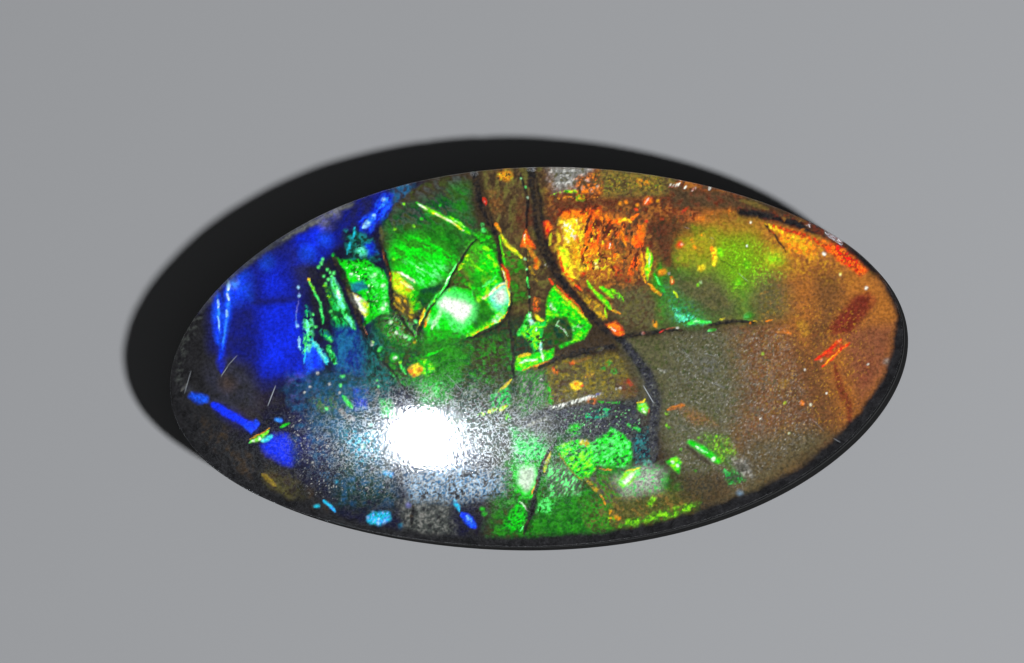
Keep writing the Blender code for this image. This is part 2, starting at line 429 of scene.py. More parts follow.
# %% Palette
PALETTE = {
    "black": (0.006, 0.006, 0.007),
    "coal": (0.015, 0.015, 0.017),
    "brown": (0.085, 0.050, 0.022),
    "umber": (0.040, 0.026, 0.014),
    "olive": (0.120, 0.110, 0.025),
    "drab": (0.098, 0.092, 0.042),
    "khaki": (0.260, 0.185, 0.010),
    "apple": (0.180, 0.330, 0.006),
    "moss": (0.045, 0.065, 0.012),
    "slate": (0.060, 0.068, 0.062),
    "ash": (0.190, 0.190, 0.175),
    "silver": (0.520, 0.520, 0.480),
    "white": (0.950, 1.000, 0.880),
    "violet": (0.150, 0.155, 0.520),
    "dusk": (0.032, 0.033, 0.055),
    "ink": (0.006, 0.006, 0.026),
    "indigo": (0.010, 0.012, 0.080),
    "navy": (0.004, 0.009, 0.220),
    "cobalt": (0.004, 0.028, 0.920),
    "azure": (0.010, 0.110, 1.000),
    "sky": (0.040, 0.300, 1.000),
    "ice": (0.320, 0.640, 1.000),
    "cyan": (0.010, 0.620, 0.850),
    "aqua": (0.160, 0.900, 0.720),
    "mint": (0.120, 0.960, 0.200),
    "teal": (0.008, 0.200, 0.200),
    "steel": (0.010, 0.130, 0.300),
    "pine": (0.004, 0.050, 0.022),
    "forest": (0.006, 0.110, 0.006),
    "emerald": (0.006, 0.600, 0.090),
    "green": (0.004, 0.720, 0.006),
    "leaf": (0.020, 0.260, 0.008),
    "lime": (0.280, 0.950, 0.006),
    "yellow": (1.000, 0.850, 0.020),
    "gold": (0.700, 0.400, 0.012),
    "amber": (0.370, 0.130, 0.020),
    "clay": (0.170, 0.062, 0.024),
    "tan": (0.250, 0.078, 0.034),
    "rust": (0.380, 0.100, 0.020),
    "ochre": (0.200, 0.125, 0.025),
    "orange": (0.950, 0.230, 0.008),
    "ember": (0.900, 0.080, 0.008),
    "red": (0.800, 0.012, 0.008),
    "rose": (0.420, 0.080, 0.045),
    "maroon": (0.130, 0.022, 0.010),
    "wine": (0.190, 0.026, 0.014),
}
play = np.tile(PALETTE["umber"], (len(places), 1))

# %% [markdown]
# Three ways of laying colour make the whole pattern. A field or a shard is a polygon, a streak is a bent
# line with a width, and a spot is a round blot. Each takes a list of colour names from dull to bright and
# lets the grain choose between them, as the shell does. Points and widths are in seen millimetres.

# %% Brushes
GRIT = 0.85
GRIT_SIZE, GRIT_STRETCH = 0.075, 1.6
GAP_CONTRAST = 2.6
GAP_SIZE = 1.3
GAP_EDGE = 0.16
GAP_SHIFT = 41.0
FLASH = 0.25


def near(points, margin):
    """The shell points in the box around some marks."""
    low, high = np.min(points, 0) - margin, np.max(points, 0) + margin
    in_box = (torn_x > low[0]) & (torn_x < high[0]) & (torn_y > low[1]) & (torn_y < high[1])
    return np.flatnonzero(in_box)


def smooth(share):
    share = np.clip(share, 0, 1)
    return share * share * (3 - 2 * share)


def pick(colours, tone):
    """A colour for each tone from 0 to 1, out of a few names in a row."""
    named = np.array([PALETTE[name] for name in colours.split()])
    if len(named) == 1:
        return np.repeat(named, len(tone), 0)
    stops = np.linspace(0, 1, len(named))
    return np.stack([np.interp(tone, stops, named[:, channel]) for channel in range(3)], 1)


def lay(spots, colours, cover, size=0.25, turn=0.0, stretch=1.0, contrast=2.3, grit=GRIT, gaps=0.0,
        shift=0.0):
    """Cover shell points with mottled colour; gaps is the share that the grain leaves bare."""
    x, y = torn_x[spots], torn_y[spots]
    tone = 0.5 + contrast * (grain(x, y, size, turn, stretch, shift) - 0.5)
    tone += grit * (grain(x, y, GRIT_SIZE, turn, GRIT_STRETCH, shift, layers=2) - 0.5)
    if gaps:
        holes = grain(x, y, size * GAP_SIZE, turn, stretch, shift + GAP_SHIFT)
        holes = 0.5 + GAP_CONTRAST * (holes - 0.5)
        cover = cover * smooth((holes - gaps) / GAP_EDGE + 0.5)
    play[spots] += (pick(colours, np.clip(tone, 0, 1)) - play[spots]) * cover[:, None]


def segment_gap(spots, start, end):
    """Distance to a segment, and how far along it the nearest point is."""
    run = np.subtract(end, start)
    x, y = torn_x[spots] - start[0], torn_y[spots] - start[1]
    along = np.clip((x * run[0] + y * run[1]) / max(run @ run, 1e-9), 0, 1)
    return np.hypot(x - along * run[0], y - along * run[1]), along


def line_gap(spots, line):
    """Distance to a bent line."""
    return np.min([segment_gap(spots, start, end)[0] for start, end in zip(line, line[1:])], 0)


def depth_inside(spots, points):
    """How deep inside a polygon each point lies; below zero is outside."""
    x, y = torn_x[spots], torn_y[spots]
    ring = [*points, points[0]]
    inside = np.zeros(len(spots), bool)
    for start, end in zip(ring, ring[1:]):
        if start[1] != end[1]:
            crossing = start[0] + (end[0] - start[0]) * (y - start[1]) / (end[1] - start[1])
            inside ^= ((start[1] > y) != (end[1] > y)) & (x < crossing)
    gap = line_gap(spots, ring)
    return np.where(inside, gap, -gap)


def patch(colours, *points, soft=0.3, cover=1.0, **look):
    """A shard or a field: a polygon with a soft torn edge."""
    spots = near(points, soft)
    lay(spots, colours, cover * smooth(0.5 + depth_inside(spots, points) / soft), **look)


def streak(colours, width, *points, taper=0.35, soft=0.9, cover=1.0, **look):
    """A line of colour, full in the middle and thinner towards its ends."""
    spots = near(points, width)
    lengths = [math.dist(a, b) for a, b in zip(points, points[1:])]
    total = max(sum(lengths), 1e-9)
    gap = np.full(len(spots), np.inf)
    done = 0.0
    for start, end, length in zip(points, points[1:], lengths):
        distance, along = segment_gap(spots, start, end)
        share = (done + along * length) / total
        fullness = np.sqrt(np.sin(math.pi * np.clip(share, 0, 1)))
        gap = np.minimum(gap, distance / (width / 2 * (taper + (1 - taper) * fullness)))
        done += length
    lay(spots, colours, cover * smooth((1 - gap) / soft), **look)


def spot(colours, radius, *middles, soft=1.0, cover=1.0, **look):
    """Round blots of one radius."""
    for middle in middles:
        spots = near([middle], radius)
        distance = segment_gap(spots, middle, middle)[0]
        lay(spots, colours, cover * smooth((1 - distance / radius) / soft), **look)


def bright_share():
    """How much of the shell flashes by now."""
    return f"{(play.max(1) > FLASH).mean():.0%} of the shell flashes"


# %% [markdown]
# First the ground that the shards lie on. Where ammolite doesn't flash it is brown, olive or slate, darkest
# at the left and warm at the right. These are big soft fields, laid one over the other.

# %% Ground tones
calm = {"grit": 0.35, "contrast": 1.4}
patch("black coal coal", (-15.5, 4), (-12.5, 6), (-12.5, -6), (-15.5, -3), soft=1.2, size=0.3, **calm)
patch("ink ink indigo", (-13, 7), (-4, 9), (-4, -1), (-6, -2.5), (-9.5, -2), (-13, 0), soft=1.5, size=0.5,
    **calm)
patch("black ink coal", (-11, -1), (-6, -2), (-2, -3), (-2.5, -8), (-13, -8), (-14, -3), soft=1.5, size=0.3,
    **calm)
patch("black coal umber", (-14, -1.6), (-12.2, -2.6), (-10.5, -4.2), (-8.5, -5.6), (-9, -7), (-15, -4),
    soft=0.7, size=0.3, **calm)
patch("ink indigo steel", (-10.2, -0.8), (-7.8, -0.6), (-7.6, -3), (-8.8, -4), (-10.2, -3.6), soft=1.2,
    cover=0.7, **calm)
patch("ink pine steel", (-8.6, -0.2), (-6.6, -0.2), (-6.2, -5.6), (-8.4, -5.6), soft=1.2, cover=0.7,
    size=0.2, **calm)
patch("moss pine umber", (-5.5, 1.5), (0.5, 1.5), (0.5, -2), (-2, -4), (-5, -2), soft=1, size=0.15)
patch("umber brown olive", (-1.2, 8), (2.5, 8), (2, 4), (0.2, 1.5), (-0.9, 2), (-1, 4), soft=0.5, size=0.2)
patch("brown olive khaki", (0, -0.2), (3.6, -0.2), (4.2, -2.2), (0, -2.4), soft=0.5, size=0.12,
    contrast=1.8)
patch("slate coal dusk", (-1, -2.2), (4.2, -2), (4.4, -4), (3, -5), (-1, -4.5), soft=0.6, size=0.12)
patch("moss forest leaf", (-1.5, -4), (1, -3.4), (4.5, -5), (6.5, -6), (6, -8), (-2.5, -8), soft=1,
    size=0.2)
patch("brown maroon amber", (1.2, 8), (9, 7), (9, 5), (6, 2), (1.4, 2.2), (0.9, 5), soft=0.8, size=0.2)
patch("olive leaf moss", (5.5, 4.9), (9.5, 5), (10.6, 3.2), (10.6, 0.9), (5.2, 0.9), (4.8, 2.4), soft=1,
    size=0.3, **calm)
patch("moss drab drab", (3.6, 0.5), (9, 0.5), (9.4, -3), (9, -6.5), (6, -6.5), (4.8, -3), soft=0.9,
    size=0.1, contrast=1.2, grit=0.7)
patch("drab clay ochre", (8.3, 0.8), (11.4, 0.8), (11.8, -3), (10.5, -5.6), (7.4, -6.4), (8.6, -2),
    soft=1.8, size=0.1, contrast=1.2, grit=0.7)
patch("clay amber clay", (9.4, 5), (13.5, 3.6), (15.6, 0.5), (15, -3), (12, -4.5), (10.5, -1), (9.8, 2),
    soft=1.8, size=0.12, contrast=1.2, grit=0.7)
print(bright_share())

# %% [markdown]
# The left end flashes royal blue. The blue lies in soft upright blocks with darker bands between them, so
# these are wide patches of two close tones. Towards the rim and below it goes out into black matrix.

# %% The blue field
glow = {"soft": 1.0, "grit": 0.2, "contrast": 1.2}
patch("indigo navy", (-13.2, 2.6), (-12.6, 4), (-11, 5.1), (-9.3, 6), (-8, 6.2), (-8.6, 4.4),
    (-9.3, 3), (-9.4, -0.2), (-11.4, -0.5), (-12.6, 0.5), (-13.2, 1.2), size=0.6, turn=85, stretch=2.5,
    **glow)
patch("navy cobalt", (-11.4, 2.8), (-9.6, 3), (-9.5, 1), (-9.6, -0.2), (-11.3, -0.1), soft=0.7,
    cover=0.85, size=0.6, turn=85, stretch=2, contrast=1.4, grit=0.2)
patch("cobalt", (-10.6, 2.6), (-9.7, 2.6), (-9.65, 1.1), (-10.5, 1.1), cover=0.35, **glow)
patch("cobalt", (-11.3, 1), (-10.1, 1), (-10.1, 0.1), (-11.2, 0.1), cover=0.35, **glow)
patch("navy cobalt", (-11, 4.6), (-9.8, 4.7), (-9.8, 3.3), (-11, 3.2), cover=0.4, size=0.5, **glow)
spot("cobalt", 0.9, (-10.4, 3.6), cover=0.35, **glow)
spot("azure", 0.6, (-10.75, 4.6), cover=0.35, **glow)
patch("indigo navy", (-12.2, 3.2), (-11.3, 3.2), (-11.3, -0.5), (-12.4, -0.3), cover=0.75, **glow)
streak("ink indigo", 0.5, (-11.5, 2.98), (-9.6, 2.98), cover=0.6, **glow)
patch("indigo dusk", (-9.6, 5), (-8.9, 4.6), (-8.9, 3.6), (-9.4, 3.4), cover=0.7, **glow)
patch("coal dusk", (-13.5, 0.4), (-12.9, 1), (-11.8, 0.4), (-11.4, -0.4), (-11.6, -1.5), (-13.3, -1.4),
    soft=0.9, contrast=1.4, grit=0.4)
spot("umber brown", 0.6, (-12.7, -0.3), cover=0.5)
patch("navy cobalt", (-9.5, 4.5), (-8.5, 4.5), (-7.8, 5.2), (-7.8, 6.1), (-8.8, 6.1), (-9.5, 5.6),
    soft=0.6, cover=0.8, size=0.4, turn=50, stretch=2, grit=0.3)
spot("azure", 0.6, (-9, 4.85), (-8.2, 5.4), cover=0.4, **glow)
patch("cobalt azure", (-12.5, 4.1), (-11.9, 4.35), (-11.6, 4.1), (-11.65, 3.2), (-12.2, 3), size=0.3,
    **glow)
streak("navy cobalt", 0.5, (-13.1, 3.3), (-12.7, 4), (-12.1, 4.4), **glow)
streak("cobalt azure", 0.75, (-12.85, 3.6), (-12.95, 1.4), **glow)
streak("cobalt azure", 0.6, (-12.3, 4), (-12.5, 2.6), (-12.9, 0.8), **glow)
streak("cobalt navy", 0.7, (-12.75, 2), (-12.9, 0.2), cover=0.6, **glow)
spot("sky violet", 0.32, (-12.1, 3.75), (-12.15, 3.9), cover=0.6, **glow)
print(bright_share())

# %% [markdown]
# Razor-thin lines stand in the blue, where the edge of a fold catches the light. Each is laid twice: first
# a long azure line, then shorter and paler pieces as its core.

# %% Bright lines in the blue
streak("azure sky", 0.18, (-12.84, 3.4), (-12.84, 2.6), (-12.92, 1.7), soft=1, grit=0.4)
streak("ice white", 0.15, (-12.84, 3.2), (-12.84, 2.85), soft=1, grit=0.4)
streak("ice", 0.12, (-12.87, 2.5), (-12.9, 1.95), soft=1, grit=0.4)
streak("azure sky", 0.22, (-12.34, 4), (-12.4, 3.1), (-12.55, 2.3), (-12.8, 1.1), soft=1, cover=0.8)
streak("ice white", 0.24, (-12.35, 3.95), (-12.37, 3.55), soft=1, grit=0.4)
streak("ice white", 0.18, (-12.4, 3.42), (-12.4, 3.1), soft=1, grit=0.4)
streak("ice", 0.15, (-12.5, 2.75), (-12.55, 2.45), soft=1, grit=0.4)
streak("violet", 0.1, (-9.5, 3.3), (-9.6, 2.4), cover=0.7, size=0.1, gaps=0.35)
streak("violet sky", 0.11, (-9.64, 2.5), (-9.63, 1.8), cover=0.9)
streak("cyan ice", 0.15, (-9.62, 1.4), (-9.58, 0.85))
spot("ice", 0.1, (-9.52, 3.45), (-9.5, 3.15), (-9.6, 1.85), (-9.6, 1.25), (-9.6, 1))
print(bright_share())

# %% [markdown]
# Smaller blocks lie around the blue field: dark and steel-blue ones towards the middle, and a stripe of
# azure that runs up to the rim.

# %% Blue blocks around the field
patch("cobalt azure", (-9.45, 0.9), (-9.1, 1.1), (-8.7, 0.6), (-8.7, 0.1), (-9.4, -0.1), soft=0.35,
    grit=0.4)
patch("indigo steel violet", (-10.1, -0.2), (-8.8, -0.2), (-8.9, -0.9), (-10, -1), soft=0.8, cover=0.5,
    size=0.2, grit=0.5)
patch("ink coal", (-9.1, 4.2), (-8.2, 4.6), (-7.9, 4), (-8.2, 2), (-8.6, 1.6), (-8.95, 2.4), soft=0.35,
    cover=0.85, size=0.12)
patch("steel navy steel", (-8.1, 1.9), (-7.2, 1.7), (-6.9, 0.8), (-7, -0.3), (-8.2, -0.2), soft=0.5,
    turn=85, stretch=2, grit=0.3)
patch("steel cobalt", (-7.6, -0.8), (-6.95, -0.9), (-7, -1.8), (-7.5, -1.8), soft=0.25, cover=0.7,
    grit=0.4)
patch("indigo navy", (-8.4, 6.6), (-6.9, 7.2), (-5.4, 7.5), (-5.6, 6.4), (-6.6, 5.3), (-7.9, 5.2),
    soft=0.6, turn=60, stretch=2, grit=0.3)
patch("dusk steel slate", (-5.4, 7.6), (-4.4, 7.7), (-4.6, 7), (-5.3, 6.6), soft=0.5, size=0.2, grit=0.4)
patch("navy cobalt azure", (-6.8, 5.65), (-6.7, 6.05), (-6.3, 6.35), (-6, 6.75), (-5.7, 7.05),
    (-5.4, 7), (-5.45, 6.5), (-5.7, 6.1), (-6.15, 5.9), (-6.3, 5.6), size=0.1, turn=55, stretch=3)
streak("azure sky ice", 0.36, (-6.65, 5.75), (-6.35, 5.95), (-6.1, 6.3), size=0.1, turn=50, stretch=2)
streak("azure sky", 0.3, (-5.95, 6.5), (-5.7, 6.75), (-5.55, 6.95), size=0.1, gaps=0.3)
spot("ice", 0.12, (-6.55, 5.8), (-6.4, 5.9), (-5.75, 6.85), (-6.15, 6.25))
spot("violet dusk", 0.5, (-8.2, 6), cover=0.5, size=0.12)
patch("ink pine teal", (-7.4, 5.7), (-6.9, 5.7), (-6.2, 5.2), (-6.1, 4.4), (-7.4, 4.4), size=0.15)
patch("navy cobalt", (-6.65, 5.05), (-6.3, 5.15), (-6.15, 4.7), (-6.5, 4.55), cover=0.8, grit=0.5)
print(bright_share())

# %% [markdown]
# Under the blue field the shell is nearly black, with a few stray flashes: one long blue band with a bright
# blob at each end, a yellow-green sliver, and blue flakes. They are single marks, each where it lies.

# %% Flashes in the dark lower left
flash = {"grit": 0.4, "contrast": 1.6}
streak("dusk slate", 0.5, (-14.5, -0.3), (-14.1, -0.6), soft=1, cover=0.6, **flash)
streak("navy azure", 0.6, (-14.15, -0.7), (-13.9, -0.85), (-13.65, -0.9), taper=0.8, soft=0.8, **flash)
streak("navy", 1, (-13.4, -1.1), (-12.7, -1.6), (-11.6, -2.3), soft=1, cover=0.5, **flash)
streak("cobalt", 0.46, (-13.3, -1.15), (-12.9, -1.45), (-12.3, -1.85), (-11.7, -2.15), taper=0.75,
    soft=0.6, **flash)
patch("cobalt azure", (-12.3, -2), (-11.6, -1.85), (-11.45, -2.05), (-11.85, -2.45), soft=0.14, **flash)
patch("cobalt", (-11.45, -2.95), (-10.95, -2.6), (-10.4, -2.6), (-10.2, -3), (-10.3, -3.85),
    (-10.55, -3.85), (-11.3, -3.3), soft=0.4, cover=0.9, **flash)
spot("indigo navy", 0.6, (-10, -3.3), (-9.7, -2.9), cover=0.6)
streak("cyan aqua", 0.3, (-11.45, -2.75), (-11, -2.62), size=0.1)
streak("green lime mint", 0.24, (-11.95, -2.83), (-11.55, -2.65), (-11.1, -2.38), size=0.1)
spot("white", 0.09, (-11.75, -2.75), (-11.5, -2.65))
streak("orange gold", 0.09, (-11.9, -2.68), (-11.05, -2.28), cover=0.8)
streak("leaf green", 0.18, (-10.68, -2.25), (-10.25, -2.1))
spot("azure sky", 0.16, (-10.75, -1.95), (-10.65, -1.98))
patch("umber olive coal", (-11.5, -4), (-10.2, -4.2), (-9.9, -5.2), (-10.8, -5), soft=0.8, cover=0.4)
streak("umber olive", 0.9, (-11.5, -4.2), (-10.9, -4.8), (-10.3, -5.2), soft=1, cover=0.5, size=0.1)
streak("ochre khaki", 0.3, (-11.55, -4.1), (-11.3, -4.35), (-11, -4.65), soft=0.6, cover=0.8, size=0.1)
streak("cyan sky", 0.22, (-9.1, -5.4), (-8.85, -5.6), (-8.6, -5.9), taper=0.5, grit=0.6)
spot("steel cyan", 0.16, (-9.35, -5.6), (-8.5, -4.7), (-5.95, -6.7), cover=0.8)
print(bright_share())

# %% [markdown]
# Nearer the middle the dark shell is dusted with fine silver and steel-blue specks. They are a painted
# sheen of the glint, which lights up the cap's fine scratches around it. Patches with large gaps in a very
# fine grain leave just such a dust, and a few teal and cyan flakes glow in it.

# %% Painted glint haze and flakes at the lower left
# painted reflection: silver and steel-blue dust where the cap's scratches catch the glint
patch("silver", (-10.4, -1.8), (-7, -1.8), (-6.2, -5.4), (-9.6, -5.2), soft=0.8, cover=0.7, size=0.045,
    gaps=1.18)
patch("steel slate", (-9.4, 0), (-6.8, 0), (-6.2, -5.6), (-9.4, -4.6), soft=0.8, cover=0.5, size=0.06,
    gaps=0.85)
patch("steel pine", (-9.5, -0.3), (-7.2, -0.3), (-7.4, -2.8), (-9.4, -2.6), soft=0.8, cover=0.5, size=0.15)
spot("silver", 0.09, (-8.95, -0.13), (-9.3, -0.65), (-9.55, -0.9), (-8.5, -0.6), (-8.1, -1), (-9.4, -3.8))
patch("olive leaf ochre", (-9.3, -1.2), (-8.4, -1.1), (-8.2, -1.6), (-8.9, -1.75), soft=0.4, cover=0.6,
    size=0.08, gaps=0.4)
spot("mint", 0.12, (-8.7, -1.6), (-8, -0.7), (-7.9, -0.35))
streak("clay silver dusk", 0.36, (-8.15, -1.65), (-7.9, -1.95), (-7.6, -2.2), cover=0.7, size=0.1, gaps=0.2)
patch("teal steel cyan", (-8.1, -2.6), (-7.2, -2.7), (-6.6, -2.9), (-6.7, -3.7), (-7.6, -3.9), soft=0.8,
    cover=0.9, size=0.08, gaps=0.35)
spot("aqua white", 0.15, (-7.3, -3.3), (-6.85, -2.75), (-6.95, -2.4), (-6.95, -3), size=0.08)
spot("cyan sky", 0.2, (-6.45, -4.45), (-6.2, -4.5), cover=0.9)
streak("teal cyan", 0.6, (-7.3, -6.3), (-6.55, -6.4), cover=0.7)
patch("teal cyan sky ice", (-7.35, -6.2), (-7.1, -6), (-6.4, -6.05), (-6.35, -6.45), (-6.8, -6.6),
    (-7.2, -6.5), soft=0.2, size=0.09, turn=75, stretch=2)
streak("cyan sky", 0.26, (-3.7, -5.75), (-3.5, -6.2), size=0.1)
streak("cobalt azure", 0.45, (-3.4, -6.35), (-3.1, -6.7), (-2.9, -6.95), taper=0.6, soft=0.6, size=0.1)
streak("sky ice", 0.22, (-3.25, -6.45), (-3, -6.75), size=0.1)
patch("coal slate ash", (-6, -5.7), (-4, -5.5), (-3.7, -7.2), (-5.8, -7.2), soft=0.5, size=0.1,
    contrast=1.6)
streak("black coal", 0.16, (-5.4, -5.8), (-5.5, -6.8))
# painted reflection: the bright haze of the glint just below its core
patch("steel silver ice coal", (-5.6, -4.6), (-3.6, -4.4), (-1.6, -4.8), (-1.7, -5.6), (-3.4, -5.8),
    (-5.4, -5.6), soft=0.7, cover=0.85, size=0.12, contrast=3.2)
spot("violet", 0.18, (-5.6, -5.85), cover=0.7)
spot("green leaf", 0.18, (-2.5, -6.2), (-2.45, -6.45))
print(bright_share())

# %% [markdown]
# Between blue and green the shell is folded into narrow upright ribs. Their edges flash mint and
# blue-green, with black in the folds. The ribs are streaks of a fine grain, with small gaps in them.

# %% Teal ribs
rib = {"size": 0.08, "turn": 110, "stretch": 1.5, "contrast": 2.8}
streak("orange yellow", 0.16, (-9.08, 3.82), (-9, 3.72))
streak("green lime mint", 0.16, (-9.02, 3.7), (-8.85, 3.4), (-8.75, 3.1), **rib)
streak("emerald mint", 0.15, (-8.8, 3.2), (-8.65, 2.8), (-8.58, 1.9), taper=0.7, **rib)
streak("teal emerald mint", 0.38, (-9.2, 2.65), (-9.15, 2), (-9.2, 1.6), taper=0.5, gaps=0.2, **rib)
streak("emerald mint aqua", 0.6, (-9.15, 2.2), (-9.2, 1.5), (-9.25, 0.85), taper=0.5, gaps=0.25, **rib)
streak("teal emerald mint", 0.26, (-9.3, 1.5), (-9.45, 0.75), taper=0.6, gaps=0.2, **rib)
streak("cyan aqua", 0.34, (-9.1, 1.3), (-8.85, 0.85), (-8.5, 0.25), taper=0.6, gaps=0.2, **rib)
streak("sky cyan", 0.14, (-9.4, 0.75), (-9.5, 0.3), **rib)
streak("teal emerald mint", 0.4, (-8.65, 1.55), (-8.3, 1.2), taper=0.7, gaps=0.15, **rib)
streak("forest emerald mint", 0.38, (-8.45, 0.9), (-8.15, 0.2), taper=0.6, gaps=0.15, **rib)
patch("pine forest emerald", (-8.2, 3.4), (-7.9, 3.2), (-7.7, 2.2), (-7.5, 1.8), (-8.1, 1.7), (-8.3, 2.6),
    soft=0.35, size=0.12, turn=110, stretch=2, gaps=0.15)
streak("forest emerald mint aqua", 0.5, (-8.05, 3.8), (-7.85, 3.1), (-7.75, 2.6), (-7.6, 2.2), (-7.3, 1.6),
    taper=0.4, size=0.12, turn=110, stretch=2.5, contrast=2.6)
streak("mint white", 0.16, (-7.88, 3.4), (-7.8, 2.9), size=0.12, turn=110)
streak("aqua mint", 0.2, (-7.6, 2.15), (-7.4, 1.8), size=0.12, turn=110)
spot("mint", 0.11, (-8.4, 4.57), (-8.48, 4.42), (-8.6, 4.3), (-8.2, 4.12), (-8.4, 3.9), (-8.2, 3.72),
    (-7.95, 3.95))
spot("mint", 0.09, (-8.1, 4), (-8.05, 3.85), (-8.3, 3.55), (-8.9, 1.75), (-8.95, 2.3))
spot("lime leaf", 0.14, (-8.35, 3.45), (-8.28, 3.2), (-8.25, 3.05), size=0.1, gaps=0.2)
spot("green mint", 0.13, (-8.15, 2.75), (-8.2, 2.4), (-8.05, 2.1), size=0.1)
streak("teal cyan", 0.16, (-6.98, 5.8), (-7.2, 5.2), (-7.38, 4.7), size=0.2)
spot("emerald aqua", 0.27, (-6.85, 4.85), (-6.7, 4.75), size=0.08, gaps=0.2)
streak("forest emerald", 0.26, (-7.6, 4.1), (-7.65, 3.7), **rib)
streak("forest green mint", 0.26, (-7.98, -1.15), (-7.6, -1.7))
patch("ink pine teal dusk", (-7, 1.2), (-6, 1.5), (-5.3, 0.3), (-6, -1.4), (-7, -0.9), soft=0.9, cover=0.8,
    size=0.12, turn=110, stretch=1.6, contrast=1.2)
print(bright_share())

# %% [markdown]
# The green shards are the brightest part of the stone. Each is one flake of shell between cracks. The one
# at the left is bubbly, so its grain is small and of high contrast, with a pale yellow facet on it.

# %% The left green shard
slant = {"size": 0.16, "turn": -42, "stretch": 2.4}
bubbles = {"size": 0.11, "turn": -42, "stretch": 1.4, "contrast": 3.4}
patch("forest green green green", (-7.95, 4.75), (-7.7, 4.45), (-6.6, 4.45), (-6.3, 4.1), (-5.95, 3.9),
    (-5.8, 3.4), (-5.8, 2.7), (-5.85, 2.1), (-6.2, 2.1), (-6.5, 1.9), (-6.95, 1.65), (-6.7, 2.3), (-6.9, 3),
    (-7.5, 3.4), (-7.55, 4), soft=0.14, **bubbles)
bubbly = [(-7.5, 4.3), (-6, 3.9), (-5.85, 2.2), (-6.4, 2.2), (-6.7, 3.2)]
patch("mint white", *bubbly, size=0.08, gaps=1)
patch("pine forest", *bubbly, size=0.08, gaps=0.85, shift=7)
patch("green green mint", (-6.6, 4.1), (-6.2, 3.9), (-5.85, 3.5), (-5.82, 2.2), (-6.2, 2.2), (-6.3, 3),
    soft=0.4, cover=0.9, **bubbles)
spot("mint white", 0.16, (-6.35, 3.75), (-6, 3.3), (-5.95, 2.55), (-6.05, 2.35), (-7.3, 3.85), size=0.1)
patch("teal steel", (-7.4, 3.5), (-6.8, 3.6), (-6.6, 3.25), (-7.2, 3.1), soft=0.16, cover=0.9, grit=0.6)
streak("forest pine", 0.12, (-6.75, 3.15), (-6.55, 2.7), (-6.55, 2.2), cover=0.8)
patch("lime yellow white", (-7.5, 3.25), (-7.3, 3.1), (-6.95, 2.9), (-6.65, 2.6), (-6.65, 2.2),
    (-6.8, 2.05), (-7.1, 2.35), (-7.35, 2.8), soft=0.12)
patch("white", (-7.4, 3.05), (-7.15, 2.9), (-6.95, 2.6), (-6.75, 2.25), (-6.85, 2.2), (-7.2, 2.5), soft=0.2,
    grit=0.2)
spot("gold lime", 0.14, (-6.9, 2.72), (-6.75, 2.55))
streak("silver orange", 0.08, (-6.92, 1.7), (-6.75, 1.3))
spot("lime silver", 0.1, (-6.6, 1.02), (-6.63, 0.9))
spot("green mint", 0.13, (-6.35, 0.6), (-6.25, 0.68))
print(bright_share())

# %% [markdown]
# The biggest shard is one field with a fine slanting grain, dim at the top and bright below. The facets
# go on top of it: brown and gold at the lower left, and a pair of thin yellow lines across the top.

# %% The big green shard
patch("moss leaf forest", (-6.5, 1.9), (-5.8, 2), (-5.3, 1.4), (-4.6, 1), (-4.6, 0.3), (-6, 0.5), soft=0.8,
    cover=0.8, size=0.12)
patch("olive leaf ash green", (-6, 2), (-5.2, 2.1), (-4.7, 1.6), (-4.5, 1), (-5.2, 0.8), (-6, 1.2),
    soft=0.5, size=0.09, gaps=0.4)
big_shard = [(-5.9, 5.5), (-5.3, 6.6), (-4.5, 7.2), (-3.4, 7.6), (-2.2, 7.6), (-2.0, 5.6), (-2.5, 5.0),
             (-2.9, 4.0), (-3.3, 3.3), (-3.8, 2.6), (-4.4, 2.2), (-4.9, 1.6), (-5.3, 2.1), (-5.6, 2.9),
             (-5.6, 3.7), (-5.5, 4.4), (-5.85, 4.9)]
patch("moss umber slate", *big_shard, soft=0.14, **slant)
patch("moss slate pine forest", (-5.7, 6), (-4.6, 6.6), (-2.2, 7.2), (-2, 5.2), (-2.9, 4.2), (-5.5, 4.5),
    soft=0.7, **slant)
patch("forest leaf", (-3, 7.3), (-2.2, 7.3), (-2.1, 5.6), (-2.9, 5.9), soft=0.5, cover=0.5, **slant)
patch("forest leaf", (-5.6, 5.6), (-3, 5.7), (-2.3, 5), (-2.9, 4.1), (-5.5, 4.4), soft=0.9, **slant)
patch("leaf leaf green green", (-5.6, 4.9), (-4.6, 5.3), (-3.3, 4.9), (-2.85, 4.2), (-3.3, 3.4),
    (-4.2, 2.9), (-4.9, 2.3), (-5.5, 3.2), soft=0.7, size=0.14, turn=-42, stretch=3, contrast=3.2)
patch("green green green mint", (-5.4, 4.1), (-4.2, 4.2), (-3.4, 4), (-3.4, 3.5), (-4.4, 3.1), (-5.2, 3.7),
    soft=0.6, cover=0.9, size=0.1, turn=-42, stretch=3, contrast=3.2)
patch("brown olive gold", (-5.6, 3.4), (-5.2, 3), (-4.8, 2.4), (-4.9, 1.7), (-5.5, 2.3), soft=0.35,
    size=0.12, turn=-60, stretch=2)
patch("green leaf lime", (-5, 2.9), (-4.4, 2.9), (-4.5, 2.3), (-4.8, 2.1), soft=0.25, size=0.12)
patch("gold lime yellow", (-5.6, 3.85), (-5.3, 3.75), (-4.8, 3.1), (-4.95, 2.85), (-5.3, 2.95),
    (-5.55, 3.2), soft=0.2, size=0.2)
streak("yellow white", 0.16, (-5.35, 3.85), (-5, 3.62), (-4.68, 3.36), grit=0.3)
streak("yellow white", 0.15, (-5.25, 3.4), (-5, 3.25), (-4.72, 3.03), grit=0.3)
streak("mint white", 0.07, (-4.6, 4), (-4.2, 3.7), cover=0.8)
